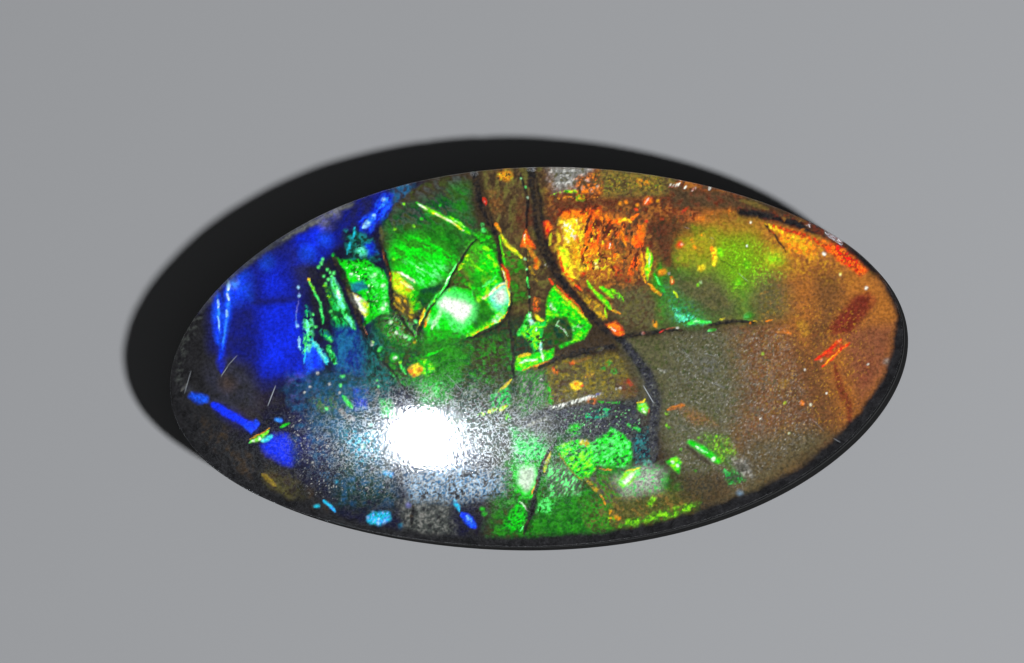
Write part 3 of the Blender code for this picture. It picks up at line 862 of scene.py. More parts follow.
spot("green lime", 0.1, (-5.33, 5.62), (-4.55, 5.66), (-4.2, 5.95), (-3.4, 6.45), (-4.9, 6.6),
    (-5.45, 4.35))
patch("pine forest", (-4.5, 3), (-3.9, 3.15), (-3.5, 3.25), (-3.8, 2.8), (-4.1, 2.5), (-4.4, 2.3),
    (-4.65, 2.6), soft=0.2, grit=0.4)
streak("forest green", 0.7, (-4.1, 6.35), (-3, 5.7), (-2.2, 5.2), cover=0.6, **slant)
streak("green lime", 0.26, (-4.35, 6.6), (-3.9, 6.3), (-3.4, 6.05), (-2.9, 5.7), (-2.25, 5.2), size=0.1,
    turn=-35, stretch=3)
streak("yellow white", 0.11, (-4.3, 6.55), (-3.95, 6.33))
streak("yellow white", 0.14, (-3.75, 6.18), (-3.3, 5.95), (-2.85, 5.65), (-2.5, 5.35), grit=0.5)
streak("green lime", 0.16, (-3, 5.95), (-2.7, 5.75), (-2.45, 5.5))
streak("lime white", 0.08, (-2.85, 5.8), (-2.5, 5.52))
print(bright_share())

# %% [markdown]
# Below the long crack lie two smaller shards. They hold the white-green hotspots, where a facet faces the
# light: a hotspot is a calm pale patch inside a mint one, with a gold line along its broken edge.

# %% The two lower green shards
patch("green green mint", (-4.2, 2.3), (-3.8, 2.8), (-3, 3.05), (-2.3, 2.8), (-2.1, 2), (-2.5, 1),
    (-3.2, 1.05), (-4.2, 1.1), (-4.4, 1.4), soft=0.2, size=0.16, turn=-60, stretch=2)
patch("leaf green", (-4.4, 1.5), (-3, 1.2), (-2.6, 0.9), (-4.3, 0.7), soft=0.35, size=0.12)
streak("mint white", 0.3, (-4.1, 1.4), (-3.8, 1.9), (-3.6, 2.2), cover=0.6, size=0.1)
patch("forest leaf green", (-2.4, 4.7), (-2, 5.3), (-1.45, 5.2), (-1.15, 4.4), (-1.4, 4), (-2.2, 4),
    soft=0.5, size=0.12)
patch("leaf green green lime", (-2.2, 4.8), (-1.9, 4.8), (-1.3, 4.3), (-1.12, 3.8), (-1.05, 3),
    (-0.85, 2.9), (-0.8, 2.3), (-0.85, 1.9), (-1.5, 1.3), (-2.3, 1.05), (-2.7, 0.95), (-2.4, 1.5),
    (-2.1, 2.2), (-2.2, 2.8), (-2.6, 3.1), (-2.8, 3.8), (-2.5, 4.3), soft=0.14, **slant)
patch("olive leaf", (-2.3, 4.8), (-1.9, 4.9), (-1.8, 4.2), (-2.4, 3.4), (-2.8, 3.6), soft=0.4, cover=0.6,
    **slant)
patch("forest leaf", (-2.5, 3.5), (-1.6, 3.6), (-1.4, 3.3), (-2, 2.9), (-2.4, 3), cover=0.7, size=0.14,
    turn=30, stretch=3)
patch("olive moss leaf", (-2.95, 3.9), (-2.65, 3.9), (-2.3, 3.2), (-2.7, 3), (-3.1, 3.2), soft=0.4,
    size=0.1)
streak("leaf lime yellow", 0.3, (-2.8, 3.75), (-2.55, 4.1), (-2.35, 4.4), size=0.1, gaps=0.2)
streak("green mint", 0.24, (-1.9, 3), (-1.55, 3.25), (-1.3, 3.35), size=0.1, turn=40, stretch=2)
patch("forest leaf", (-2.4, 2.2), (-1.85, 2.45), (-1.5, 1.9), (-1.7, 1.5), (-2.3, 1.2), (-2.5, 1.5),
    soft=0.2, grit=0.6)
streak("green lime", 0.26, (-2.65, 1), (-1.9, 1.25), (-1.3, 1.6), (-0.95, 1.85), size=0.1)
spot("mint white", 0.18, (-1.35, 1.65), (-1.15, 1.85), (-1.5, 1.5), cover=0.9, size=0.1)
mild = {"grit": 0.15, "contrast": 0.8}
patch("mint", (-3.95, 2.5), (-3.45, 2.95), (-2.6, 2.7), (-2.15, 2.3), (-2.3, 1.6), (-2.9, 1.3), (-3.4, 1.7),
    soft=0.35, cover=0.8, grit=0.6)
patch("white", (-3.72, 2.4), (-3.42, 2.65), (-3.1, 2.5), (-2.65, 2.4), (-2.4, 2.2), (-2.5, 1.85),
    (-2.8, 1.6), (-3, 1.65), (-3.3, 2), (-3.55, 2.15), **mild)
patch("mint aqua", (-1.65, 2.7), (-1.3, 2.95), (-0.85, 3), (-0.83, 2.2), (-1.1, 1.9), (-1.5, 2), grit=0.5)
patch("silver white", (-1.45, 2.55), (-1.2, 2.75), (-0.98, 2.8), (-0.96, 2.4), (-1.1, 2.2), (-1.3, 2.25),
    **mild)
streak("gold white yellow", 0.2, (-1.9, 2.5), (-1.5, 2.75), (-1.2, 2.92), (-0.85, 3), taper=0.5, grit=0.5)
streak("yellow", 0.12, (-0.86, 3), (-0.82, 2.4), (-0.86, 2.1), cover=0.9)
streak("gold yellow", 0.24, (-4.33, 2.25), (-4.6, 1.5))
streak("mint leaf", 0.1, (-4.3, 2.1), (-4.5, 1.6))
streak("gold yellow orange", 0.22, (-4.1, 2.15), (-4.4, 1.5))
streak("mint white", 0.1, (-4.12, 2.05), (-4.28, 1.75))
spot("mint white", 0.11, (-5.05, 1.03), (-5.2, 1.15), (-5.55, 1.3), (-5.8, 1.75), (-4.75, 1.7))
spot("gold lime", 0.11, (-4.85, 0.9), (-5.5, 2.1), (-4.95, 2.1), (-5.6, 2.5))
streak("brown orange amber", 0.2, (-5.9, 4.8), (-5.85, 4.4), (-5.7, 4.1), size=0.12)
streak("olive slate", 0.25, (-5.9, 5.8), (-5.88, 4.9), cover=0.7, size=0.1)
print(bright_share())

# %% [markdown]
# Below the bright shards the same shell lies a little deeper and only glows. It is a dim green field, with
# one orange flake and a few sparks in it, and over it fine grey scratches in a painted sheen of the glint.

# %% The dim field below the green shards
patch("moss pine leaf", (-6.4, 0.4), (-4.9, 0.6), (-4.2, 0.9), (-2.8, 0.9), (-0.9, 0.9), (-0.8, -0.8),
    (-2.6, -1.2), (-4.5, -1.2), (-5.6, -0.9), soft=0.5, size=0.12, turn=-20, stretch=1.6)
patch("forest leaf leaf", (-4.5, 0.8), (-3.3, 0.9), (-2.6, 0.2), (-3.2, -0.8), (-4.4, -1.2), soft=0.8,
    size=0.12, turn=20, stretch=2, contrast=1.6, grit=0.5)
patch("umber moss leaf", (-2.6, 0.8), (-1, 0.8), (-1, -1), (-2.2, -1), soft=0.9, cover=0.8, size=0.12)
streak("leaf green", 0.16, (-4.6, 0.25), (-4.1, 0.4), (-3.7, 0.5))
patch("leaf green lime", (-4.75, 0.15), (-4.3, 0.1), (-4.1, -0.4), (-4.4, -0.6), (-4.8, -0.4), soft=0.2,
    size=0.1)
patch("orange gold yellow", (-5.2, -0.25), (-5, -0.08), (-4.75, -0.03), (-4.55, -0.25), (-4.7, -0.5),
    (-5, -0.58), soft=0.14, size=0.14)
spot("orange ember", 0.12, (-5.1, -0.32), (-4.95, -0.5))
streak("forest emerald mint", 0.26, (-5.95, -0.28), (-5.45, -0.85), size=0.1)
streak("green mint", 0.16, (-5.55, 0.1), (-5.28, -0.45), size=0.1)
spot("green", 0.24, (-5.72, 0.28), size=0.1)
spot("white", 0.11, (-5.72, 0.27))
patch("leaf green mint", (-4.9, -0.7), (-3.9, -0.9), (-3.5, -1.6), (-4.6, -1.7), soft=0.7, cover=0.6,
    size=0.1)
spot("yellow lime", 0.1, (-5.5, 0.07))
patch("pine green emerald", (-6.5, -1.4), (-6, -1.5), (-5.9, -2.1), (-6.4, -2.1), soft=0.25, cover=0.8,
    size=0.1)
spot("mint", 0.08, (-6.5, -0.9), (-6.55, -0.6), (-4.1, -0.95), (-3.85, -0.9))
streak("leaf lime yellow", 0.3, (-2.45, -2.35), (-1.8, -2.2), (-1.15, -2.05), size=0.1, gaps=0.25)
streak("gold yellow", 0.2, (-1.55, -1.45), (-1.25, -1.25), (-0.95, -0.95), size=0.1)
patch("leaf emerald", (-1.9, -1.5), (-1.1, -1.2), (-1, -2), (-1.8, -2.1), size=0.08, gaps=0.35)
spot("green lime", 0.24, (-1.2, -2.5), size=0.08, gaps=0.2)
# painted reflection: grey scratch haze lit by the glint around it
patch("slate ash silver", (-7, -0.9), (-4.4, -0.7), (-2.2, -1.3), (0.4, -2.6), (-0.2, -4.4), (-1.5, -5.9),
    (-4.4, -5.6), (-6.4, -4.6), soft=1.4, cover=0.5, size=0.05, turn=30, stretch=1.6, gaps=0.75)
print(bright_share())

# %% [markdown]
# Down the middle the cracks crowd together. Small wedges between them flash lime, orange and red, and at
# the top lies a grey patch where the shell is worn off.

# %% Wedges in the middle
patch("umber brown olive", (-1.6, 7.8), (0, 7.8), (0.3, 4.6), (-0.6, 4.8), (-1.2, 5.4), size=0.14, turn=80,
    stretch=2)
patch("maroon brown", (-0.3, 6.6), (0.5, 6.2), (0.3, 4.6), (-0.4, 4.9), soft=0.5, cover=0.6)
patch("amber brown", (-1.4, 6.9), (-0.8, 6.8), (-0.8, 6), (-1.3, 6), soft=0.5, cover=0.5, size=0.1)
spot("gold orange yellow", 0.3, (-0.55, 7.45), (-0.75, 7.5), size=0.09, gaps=0.25)
patch("olive moss leaf", (-1, 4.6), (-0.3, 4.2), (-0.05, 3.6), (-0.1, 2.2), (-0.65, 2.2))
patch("moss olive leaf", (-1.05, 4.9), (-0.75, 4.7), (-0.2, 4.1), (-0.45, 3.9), (-0.65, 3.5), (-0.82, 3.5),
    (-0.95, 4.1), soft=0.15, size=0.12)
streak("lime yellow", 0.26, (-1, 5.05), (-0.75, 4.65), (-0.45, 4.35), (-0.2, 4.05), taper=0.4, size=0.16)
streak("green lime", 0.14, (-1.05, 5), (-0.95, 4.3), (-0.85, 3.7))
streak("orange gold", 0.22, (-1.12, 5.55), (-0.98, 5.15), size=0.1)
spot("emerald mint", 0.14, (-1.7, 5.5), (-1.65, 5.3), size=0.1, gaps=0.2)
patch("ember orange red", (0.1, 5.3), (0.2, 4.9), (0.4, 4.35), (0.05, 4.5), (-0.18, 4.5), (-0.05, 4.9),
    soft=0.12, size=0.1)
streak("orange yellow white", 0.1, (0.06, 5.05), (0, 4.65))
streak("gold amber orange", 0.26, (0.08, 4.55), (0.3, 4.15), (0.5, 3.8), (0.35, 3.55), taper=0.5, size=0.1)
spot("orange ember", 0.16, (0.42, 3.85), (0.35, 3.65), size=0.1)
streak("olive gold", 0.2, (0.05, 4.3), (0.12, 3.6), (0.4, 3), cover=0.8, size=0.1, gaps=0.2)
spot("silver", 0.07, (0.75, 3.7), (0.9, 3.62))
patch("red ember orange", (0.72, 5.5), (1, 5.5), (1.18, 5.2), (1, 5.05), (0.85, 4.7), (0.75, 5.1),
    soft=0.12, size=0.12)
streak("lime yellow", 0.22, (1.12, 5.02), (1.02, 4.5))
spot("gold yellow", 0.12, (1.2, 4.32), (1.35, 4.4), size=0.08)
patch("drab ash ash silver", (1.15, 7.8), (3.1, 7.7), (2.6, 7.1), (2.2, 6.75), (1.3, 6.75), soft=0.6,
    size=0.1, contrast=2)
patch("brown clay orange", (2.3, 7.2), (3.4, 7.35), (3.5, 6.5), (2.3, 6.5), size=0.12, contrast=3)
spot("orange silver", 0.13, (2.75, 7.05), (2.9, 6.6), (2.55, 6.75), (3.15, 6.75), size=0.08)
streak("leaf lime gold", 0.2, (1.2, 6.55), (1.7, 6.65), (2.3, 6.6), size=0.07, gaps=0.35)
spot("leaf lime", 0.18, (2.5, 6.33), (2.35, 6.35), size=0.08, gaps=0.2)
streak("gold orange olive", 0.14, (1.3, 6.42), (2.3, 6.35), (3.2, 6.3), size=0.07, gaps=0.5)
print(bright_share())

# %% [markdown]
# A green triangle lies where the two main cracks part. It has a dark hollow in it, pale scratches, and a
# broken green ledge along its foot.

# %% The green triangle
patch("leaf green green lime", (1.05, 2.85), (1.4, 2.3), (1.8, 1.9), (2.3, 1.3), (2.5, 0.95), (2.1, 0.5),
    (1.2, 0.2), (0.7, 1), (0.65, 1.7), (0.75, 2.2), soft=0.14, size=0.12, turn=-30, stretch=1.6)
spot("mint white", 0.16, (2, 1.05), (0.9, 2), (1, 1.8), (1.75, 0.95), cover=0.8, size=0.08, gaps=0.3)
patch("pine moss forest", (0.4, 1.1), (1, 1.5), (1.5, 1.45), (1.7, 0.9), (1.7, 0.5), (1, 0.3), (0.6, 0.4),
    soft=0.18, grit=0.6)
streak("mint silver", 0.07, (1.05, 1.15), (1.3, 0.95), (1.5, 0.65))
streak("mint silver", 0.07, (1.15, 1.35), (1, 1.1))
streak("yellow gold lime", 0.2, (1.05, 2.75), (1.5, 2.25), (1.95, 1.75), (2.35, 1.25), size=0.1)
streak("red orange", 0.1, (1.15, 2.85), (1.55, 2.35), (1.95, 1.95), (2.2, 1.55), size=0.1)
streak("forest green mint", 0.42, (0, 1.75), (-0.2, 1.2), (-0.55, 0.9), taper=0.5, size=0.1)
streak("aqua white mint", 0.26, (0, 1.75), (-0.05, 1.45), (0.15, 1.25), (0.3, 0.95), size=0.1)
patch("emerald green lime", (-0.5, 1), (0.1, 1.3), (0.75, 1.4), (0.45, 0.9), (0.5, 0.5), (0.1, 0.1),
    (-0.2, 0.7), soft=0.2, size=0.1, contrast=3.4, gaps=0.2)
streak("gold yellow lime", 0.24, (0.2, 1.7), (0.35, 1.45), (0.55, 1.4))
streak("aqua white", 0.2, (0.35, 0.5), (0.35, 0.1), (0.4, -0.1), size=0.1)
patch("orange brown ember", (0.2, 2.4), (0.45, 2.3), (0.4, 1.8), (0.15, 1.75), soft=0.14, size=0.1,
    gaps=0.15)
streak("ember red", 0.18, (0.85, 3.15), (1, 2.85))
patch("green green lime", (-0.78, -0.55), (-0.7, -0.05), (0.1, 0.1), (0.9, 0.2), (0.85, -0.15), (0.2, -0.4),
    (-0.4, -0.65), soft=0.14, size=0.12)
streak("gold yellow", 0.22, (-0.6, -0.05), (-0.1, 0.08))
streak("mint white", 0.14, (-0.6, -0.3), (-0.2, -0.2), (0.2, -0.2), size=0.1)
streak("mint white", 0.14, (0.35, 0.2), (0.42, -0.3), size=0.1)
streak("gold orange", 0.12, (-0.5, -0.6), (0, -0.5), (0.8, -0.3), size=0.1, gaps=0.2)
patch("ember orange red", (3.05, 1.05), (3.5, 1.12), (3.8, 0.85), (3.85, 0.6), (3.6, 0.5), (3.3, 0.7),
    soft=0.15, size=0.15)
streak("yellow white", 0.08, (3.2, 0.98), (3.5, 0.75))
streak("gold yellow white", 0.2, (2.65, 0.02), (2.95, 0.08))
print(bright_share())

# %% [markdown]
# Right of the middle the shell is crumpled into hundreds of small orange, gold and red flakes. A field of
# high-contrast grain gives the crumple, and the largest flakes are set into it one by one.

# %% The orange field
upright = {"size": 0.13, "turn": 75, "stretch": 2.0, "contrast": 2.8}
patch("maroon brown amber", (1.3, 6.2), (5.4, 6.2), (5.4, 3.3), (4.6, 2), (3.6, 1.4), (2, 2.4), (1.4, 3.4),
    (1.1, 4.6), soft=0.4, size=0.14)
patch("maroon rust rust orange", (2.2, 5.7), (3.9, 5.6), (3.9, 3.3), (3.4, 2.9), (2.4, 3.4), soft=0.6,
    **upright)
patch("brown rust amber", (3.6, 5.6), (4.9, 5.4), (4.9, 3.3), (3.9, 2.9), (3.5, 4), soft=0.6, **upright)
patch("maroon ember orange", (1.5, 5.9), (3.3, 5.95), (3.2, 5.4), (1.6, 5.4), soft=0.25, size=0.14,
    contrast=3.2)
spot("orange gold", 0.2, (2, 5.65), (2.6, 5.7), (3.1, 5.72), (2.4, 5.5), size=0.08, gaps=0.25)
patch("amber gold yellow", (1.5, 5.5), (2.5, 5.5), (2.4, 4.5), (2.2, 3.4), (1.9, 2.8), (1.4, 3.4),
    (1.3, 4.4), size=0.14, contrast=3.2)
patch("gold yellow yellow white", (1.6, 5.45), (2.15, 5.45), (2.2, 4.7), (1.7, 4.55), size=0.12)
patch("lime yellow", (1.4, 4.4), (1.75, 4.2), (1.75, 3.6), (1.45, 3.55), soft=0.2, size=0.14)
patch("gold orange yellow", (2, 4.6), (2.7, 4.4), (2.9, 3.4), (2.2, 3.2), (1.9, 3.8), size=0.1, contrast=3,
    gaps=0.3)
streak("orange ember red", 0.2, (1.35, 4.3), (1.45, 3.5), (1.9, 2.8), (2.2, 2.5), size=0.1, gaps=0.25)
patch("gold yellow lime", (2.6, 3.8), (3.2, 3.85), (3.3, 3.4), (2.8, 3.3), soft=0.2, size=0.12)
spot("yellow white", 0.2, (3, 3.6), (2.85, 3.5), size=0.1)
patch("orange ember", (2, 5.7), (5, 5.5), (4.8, 3), (2.6, 3), (2.2, 3.6), soft=0.4, size=0.16, turn=75,
    stretch=2.2, gaps=0.85, shift=3)
patch("gold yellow orange", (2.2, 5.6), (3.7, 5.3), (3.8, 3.2), (2.6, 3), (2.2, 3.6), soft=0.4, size=0.09,
    turn=70, stretch=1.6, gaps=1)
patch("maroon umber", (2.2, 5.6), (4.9, 5.3), (4.9, 3.2), (2.6, 3), (2.2, 3.6), soft=0.4, size=0.1, turn=70,
    stretch=2, gaps=0.8, shift=9)
patch("rust amber gold", (3.2, 4.1), (4, 4), (3.8, 3), (2.8, 2.8), (2.3, 2.9), soft=0.4, size=0.1, gaps=0.3)
spot("ember orange", 0.2, (3.45, 4.35), (3.4, 4.2), (3.65, 3.9), (4.15, 4.5), (4.75, 4.65), size=0.1,
    gaps=0.15)
streak("yellow white", 0.08, (3.5, 4.4), (3.42, 4.15))
streak("red ember", 0.14, (3.05, 4.9), (2.98, 4.4), size=0.1)
streak("orange gold", 0.14, (4.05, 4.75), (4.15, 4.2), size=0.1)
spot("red rust", 0.2, (2.3, 3.25), (2.75, 3.85), (3.7, 3.3), (4.2, 2.8), (3.8, 3.1), size=0.1, gaps=0.2)
print(bright_share())

# %% [markdown]
# Above the flakes runs a dull brown band, up to the rim. Only its cracked lower edge flashes, in red and
# gold sparks.

# %% The brown band above the orange
patch("olive drab brown", (3.7, 2.5), (4.8, 2.6), (5.3, 1.9), (5.2, 0.8), (3.9, 0.8), (3.3, 1.5), soft=0.5,
    size=0.12)
patch("umber maroon brown", (1.2, 6.25), (5, 6.2), (9, 6.2), (9, 5.7), (5, 5.85), (1.4, 5.9), soft=0.25,
    cover=0.8, size=0.14)
patch("brown olive ochre", (3.3, 7.5), (6.4, 7.1), (6.2, 6.2), (3.3, 6.3), size=0.1, contrast=3.2)
patch("gold leaf", (3, 7.3), (5.8, 7), (5.8, 6.4), (3.2, 6.5), cover=0.5, size=0.05, gaps=0.85)
spot("gold orange", 0.2, (5.2, 6.8), (4.9, 6.9), (5, 6.7), cover=0.8, size=0.08, gaps=0.35)
streak("red orange ember", 0.34, (3.62, 5.25), (3.95, 5.3), (4.2, 5.3), size=0.12)
streak("gold yellow orange", 0.2, (3.9, 5.25), (4.2, 5.35), (4.45, 5.2), size=0.1)
streak("orange ember", 0.2, (4.4, 5.25), (4.75, 5.5), size=0.1)
spot("ember orange", 0.22, (5.25, 6.1), (5.15, 6), size=0.1)
streak("orange white", 0.1, (5.25, 6.15), (5.12, 5.95))
spot("gold orange", 0.14, (4.75, 5.92), (4.3, 6.05), (5.6, 6.02), (4.05, 6), size=0.08)
spot("red ember", 0.13, (5.72, 5.2), (5.05, 5.15), (4.7, 5.7))
streak("ember red", 0.24, (6.4, 5.25), (6.6, 5.4), (6.9, 5.7), size=0.12)
streak("gold yellow", 0.1, (6.33, 5.02), (6.46, 5.3))
patch("maroon rust brown", (6.3, 5.5), (8, 5.5), (8.2, 4.9), (6.4, 4.9), soft=0.4, size=0.12)
spot("rust orange", 0.2, (7.2, 5.15), (7.45, 5.15), (7.8, 5.45), (8.5, 5.3), size=0.1, gaps=0.2)
patch("umber brown maroon", (5.3, 5.1), (6.9, 5), (6.9, 4.4), (6.1, 4.3), (6, 3.2), (5.7, 3.2), (5.5, 4),
    size=0.14, grit=0.6)
patch("umber brown maroon", (6, 6.6), (8.4, 6.2), (9.4, 5.4), (7.5, 5.5), (6.2, 5.7), soft=0.35,
    contrast=1.4, grit=0.5)
print(bright_share())

# %% [markdown]
# Where the orange field ends, narrow slivers of gold and lime stand side by side. The last marks here are
# the short pale dashes of painted highlight along a ridge near the rim.

# %% Slivers below the orange
streak("gold orange yellow", 0.24, (4.75, 3.9), (4.75, 3.2), (4.85, 2.7), size=0.1, gaps=0.2)
patch("green lime yellow", (5, 4.1), (5.2, 3.7), (5.12, 3.2), (4.95, 2.8), (4.85, 3.3), (4.92, 3.7),
    soft=0.12, size=0.12)
streak("lime white", 0.09, (5.07, 3.85), (5.03, 3.3))
streak("green", 0.1, (5.16, 3.85), (5.18, 3.5))
streak("forest green", 0.3, (5.27, 3.02), (5.45, 2.6), (5.68, 2.15), size=0.1)
streak("green mint", 0.1, (5.32, 2.9), (5.5, 2.5))
streak("gold orange yellow", 0.24, (4.95, 2.65), (5.2, 2.35), (5.45, 2.1), size=0.1)
spot("orange gold", 0.2, (5.65, 3.05), (5.55, 3), size=0.1)
spot("silver", 0.09, (5.85, 2.97))
spot("orange gold", 0.16, (5.1, 1), (5.15, 0.9), size=0.08, gaps=0.2)
patch("amber olive gold", (2, 2.45), (2.4, 2.35), (3, 1.8), (3.2, 1.5), (3.15, 1.2), (2.9, 1.3), (2.5, 1.8),
    soft=0.14, size=0.12)
streak("green lime", 0.2, (2.42, 2.9), (2.65, 2.6), (2.85, 2.35))
streak("green lime", 0.32, (2.75, 2.5), (3.05, 2.1), (3.35, 1.65), size=0.1)
streak("green lime", 0.28, (3, 2.65), (3.3, 2.4), (3.5, 2.1), size=0.1)
streak("leaf lime green", 0.3, (3.4, 2.5), (3.65, 2.25), (3.95, 2), size=0.1, gaps=0.15)
streak("lime", 0.1, (3.12, 1.75), (3.15, 1.3))
streak("gold orange yellow", 0.16, (3.35, 1.6), (3.75, 1.42), size=0.1)
# painted highlights: pale dashes where a ridge near the rim catches the light
RIDGE_GLINTS = (6.1, 6.22, 6.36, 6.47, 6.75, 7.02, 7.15, 7.75)
DASH_TOP, DASH_FALL, DASH_SWAY = 6.62, 0.19, 0.06
for dash in RIDGE_GLINTS:
    height = DASH_TOP - DASH_FALL * (dash - RIDGE_GLINTS[0]) + DASH_SWAY * math.sin(40 * dash)
    streak("rose silver white", 0.12, (dash, height - 0.05), (dash + 0.08, height + 0.09), grit=0.5)
print(bright_share())

# %% [markdown]
# Towards the right the crumple smooths out into a soft field, olive at its border and apple green in the
# middle. Wide patches with very soft edges run into each other, and orange and mint sparks go on top.

# %% The olive-green field at the right
mellow = {"soft": 1.2, "grit": 0.5, "contrast": 1.0, "size": 0.14}
patch("moss drab olive", (6, 3), (9.6, 3), (10.6, 2), (10.4, 0.9), (5.6, 0.9), (5.7, 2.2), **mellow)
patch("khaki gold khaki", (6.2, 4.5), (8, 4.9), (8, 3.4), (7.4, 3.1), (6.2, 3.4), cover=0.5, **mellow)
patch("khaki amber khaki", (7.6, 5.3), (9.6, 4.9), (10.4, 4.5), (10.3, 3.9), (8, 4.1), **mellow)
patch("apple", (7.9, 4.5), (9.5, 4.3), (9.9, 3.2), (9.4, 2.1), (8.4, 2.1), (7.8, 3), cover=0.85, **mellow)
patch("apple khaki", (9.4, 3.8), (10.9, 3.6), (10.9, 2.9), (9.6, 2.5), cover=0.8, **mellow)
spot("lime yellow", 0.7, (10.3, 3.35), cover=0.4)
patch("apple olive", (6.8, 3.6), (7.6, 3.6), (7.7, 2.6), (6.8, 2.6), cover=0.4, **mellow)
patch("leaf apple", (8.4, 2.9), (9.1, 3.2), (9.2, 2.2), (9.05, 1), (8.75, 1), (8.6, 2), cover=0.6, **mellow)
patch("khaki drab tan", (9.3, 2.6), (10.6, 2.6), (10.9, 1), (9.3, 1), cover=0.6, **mellow)
spot("green lime", 0.3, (9.1, 3.1), (8.65, 2.45), (10.2, 3.3), (10.5, 3.2), cover=0.4, size=0.08)
patch("lime", (8.2, 4.2), (10.9, 3.8), (10.6, 2.6), (8.4, 2), soft=0.8, cover=0.5, size=0.05, gaps=0.88)
patch("umber maroon brown", (5.2, 5.4), (6.7, 5.3), (6.3, 4.4), (5.9, 3.2), (5.3, 3.6), soft=0.6,
    cover=0.75, size=0.14)
streak("moss forest", 0.12, (8.05, 3.4), (8.6, 2.95), cover=0.7)
patch("slate leaf teal", (5.6, 2.4), (6.3, 2), (7.2, 1.2), (6.8, 0.8), (5.9, 1), soft=0.9, cover=0.8,
    size=0.1, contrast=1)
patch("aqua emerald", (5.9, 1.6), (6.5, 1.3), (7.2, 0.85), (6.2, 0.9), soft=0.4, size=0.08, gaps=0.5)
streak("orange ember gold", 0.26, (5.93, 2.8), (5.96, 2.5), taper=0.7, size=0.1)
streak("yellow white", 0.09, (5.94, 2.72), (5.95, 2.55))
streak("lime yellow", 0.14, (5.95, 2.25), (6.15, 1.95))
spot("red ember", 0.26, (6.35, 4.1), size=0.1)
spot("orange white", 0.11, (6.42, 4.12))
spot("orange gold", 0.16, (6.9, 4.25), (7.35, 4.5), (7, 3.95), size=0.08, gaps=0.2)
streak("orange ember gold", 0.26, (7.68, 4), (7.7, 3.7), size=0.1)
streak("orange yellow yellow", 0.4, (7.82, 3.85), (7.78, 3.5), (7.75, 3.2), taper=0.6, size=0.1)
spot("green lime", 0.2, (8.05, 3.8), (8.08, 3.65), cover=0.8, size=0.1)
spot("gold yellow", 0.2, (7.15, 3.1), (7.25, 3.12), size=0.1)
spot("lime silver", 0.1, (7, 2.43), (7.12, 2.5))
streak("emerald aqua mint", 0.3, (6.05, 1.25), (6.3, 1.15), (6.45, 0.98), size=0.1)
streak("green mint", 0.28, (6.45, 0.85), (6.9, 0.93), (7.15, 0.88), (7.45, 0.85), size=0.1)
streak("mint white", 0.1, (6.7, 0.9), (7, 0.92))
streak("leaf mint", 0.22, (7.3, 0.45), (7.62, 0.48), cover=0.9)
spot("leaf mint", 0.24, (8.9, 0.95), (9.05, 1.02), cover=0.8)
print(bright_share())

# %% [markdown]
# The right end is calm: amber and clay, finely speckled. Again these are wide soft patches of close tones.

# %% The amber ground
fine = {"size": 0.1, "grit": 0.6, "contrast": 1.2}
patch("clay amber gold", (9.6, 5), (10.4, 4.8), (12.4, 4), (14.2, 2.6), (13, 1.9), (11, 2.6), (10.2, 3.7),
    soft=1, cover=0.8, **fine)
patch("amber orange gold", (10.3, 4.55), (11.4, 4.35), (12.2, 3.7), (11.8, 3.3), (10.9, 3.4), (10.5, 4),
    soft=0.5, size=0.14, contrast=2.8)
streak("orange gold yellow", 0.3, (9.9, 4.8), (10.4, 4.5), (11.1, 4.15), (11.6, 3.9), size=0.1, gaps=0.25)
patch("amber", (13, 2.4), (14, 2.5), (14.9, 1.4), (15.1, 0.3), (14.5, -0.3), (14.1, 1.3), (13.4, 1.6),
    soft=0.7, cover=0.8, **fine)
patch("clay tan", (13, 0.2), (15, 0.2), (14.6, -1.6), (13.4, -3), (12.9, -1.6), soft=0.8, **fine)
patch("brown umber", (11.9, 2.6), (13, 2.4), (12.9, 0.9), (12.3, 0.4), (11.8, 1.2), soft=0.9, cover=0.6,
    **fine)
patch("maroon brown clay", (11.4, 0.6), (12.4, 0.7), (12.2, -0.5), (11.6, -0.5), soft=0.5, cover=0.7,
    **fine)
patch("clay brown", (10.4, 0.2), (12, -0.6), (12.6, -3.9), (11.6, -4.6), (10.2, -3), soft=1.2, cover=0.8,
    **fine)
patch("umber drab brown", (8.8, -4), (11.2, -3.8), (12.4, -4.2), (9.6, -6), (6.9, -6.8), (7, -5.8), soft=1,
    cover=0.8, **fine)
print(bright_share())

# %% [markdown]
# A burnt strip of broken shell runs along the upper edge of the amber: black streaks with gaps, and red
# and orange sparks under them.

# %% The burnt strip
streak("maroon coal brown", 0.8, (9, 5.35), (10.2, 5.05), (11.2, 4.75), (12.4, 4.2), (13.4, 3.4),
    (14.1, 2.8), taper=0.7, size=0.14, contrast=3.2, gaps=0.15)
streak("black coal", 0.55, (9, 5.25), (9.5, 5.2), (10.1, 5.1), taper=0.7, size=0.12)
streak("black coal", 0.5, (10.3, 4.95), (11.2, 4.7), (11.6, 4.4), (12.3, 4.25), (12.9, 3.9), size=0.14,
    gaps=0.25)
streak("olive ochre", 0.3, (9, 5.75), (9.6, 5.6), (10.15, 5.35), cover=0.8, size=0.1)
spot("rust brown", 0.24, (11.9, 4.5), (12.3, 4.4), (11.7, 4.6), size=0.1, gaps=0.2)
streak("ember maroon red", 0.26, (10.3, 4.62), (11.2, 4.3), (12, 3.9), (12.6, 3.4), (13.1, 2.9), taper=0.7,
    size=0.08, gaps=0.3)
patch("ember orange maroon red", (12.2, 3.75), (12.9, 3.7), (13.4, 3.2), (14.1, 2.55), (13.7, 2.3),
    (12.9, 2.95), soft=0.25, size=0.1, contrast=3.2)
spot("orange red", 0.14, (12.65, 3.5), (12.35, 3.85), (12.85, 3.2), (13.2, 2.85), (13.9, 2.55), size=0.08)
print(bright_share())

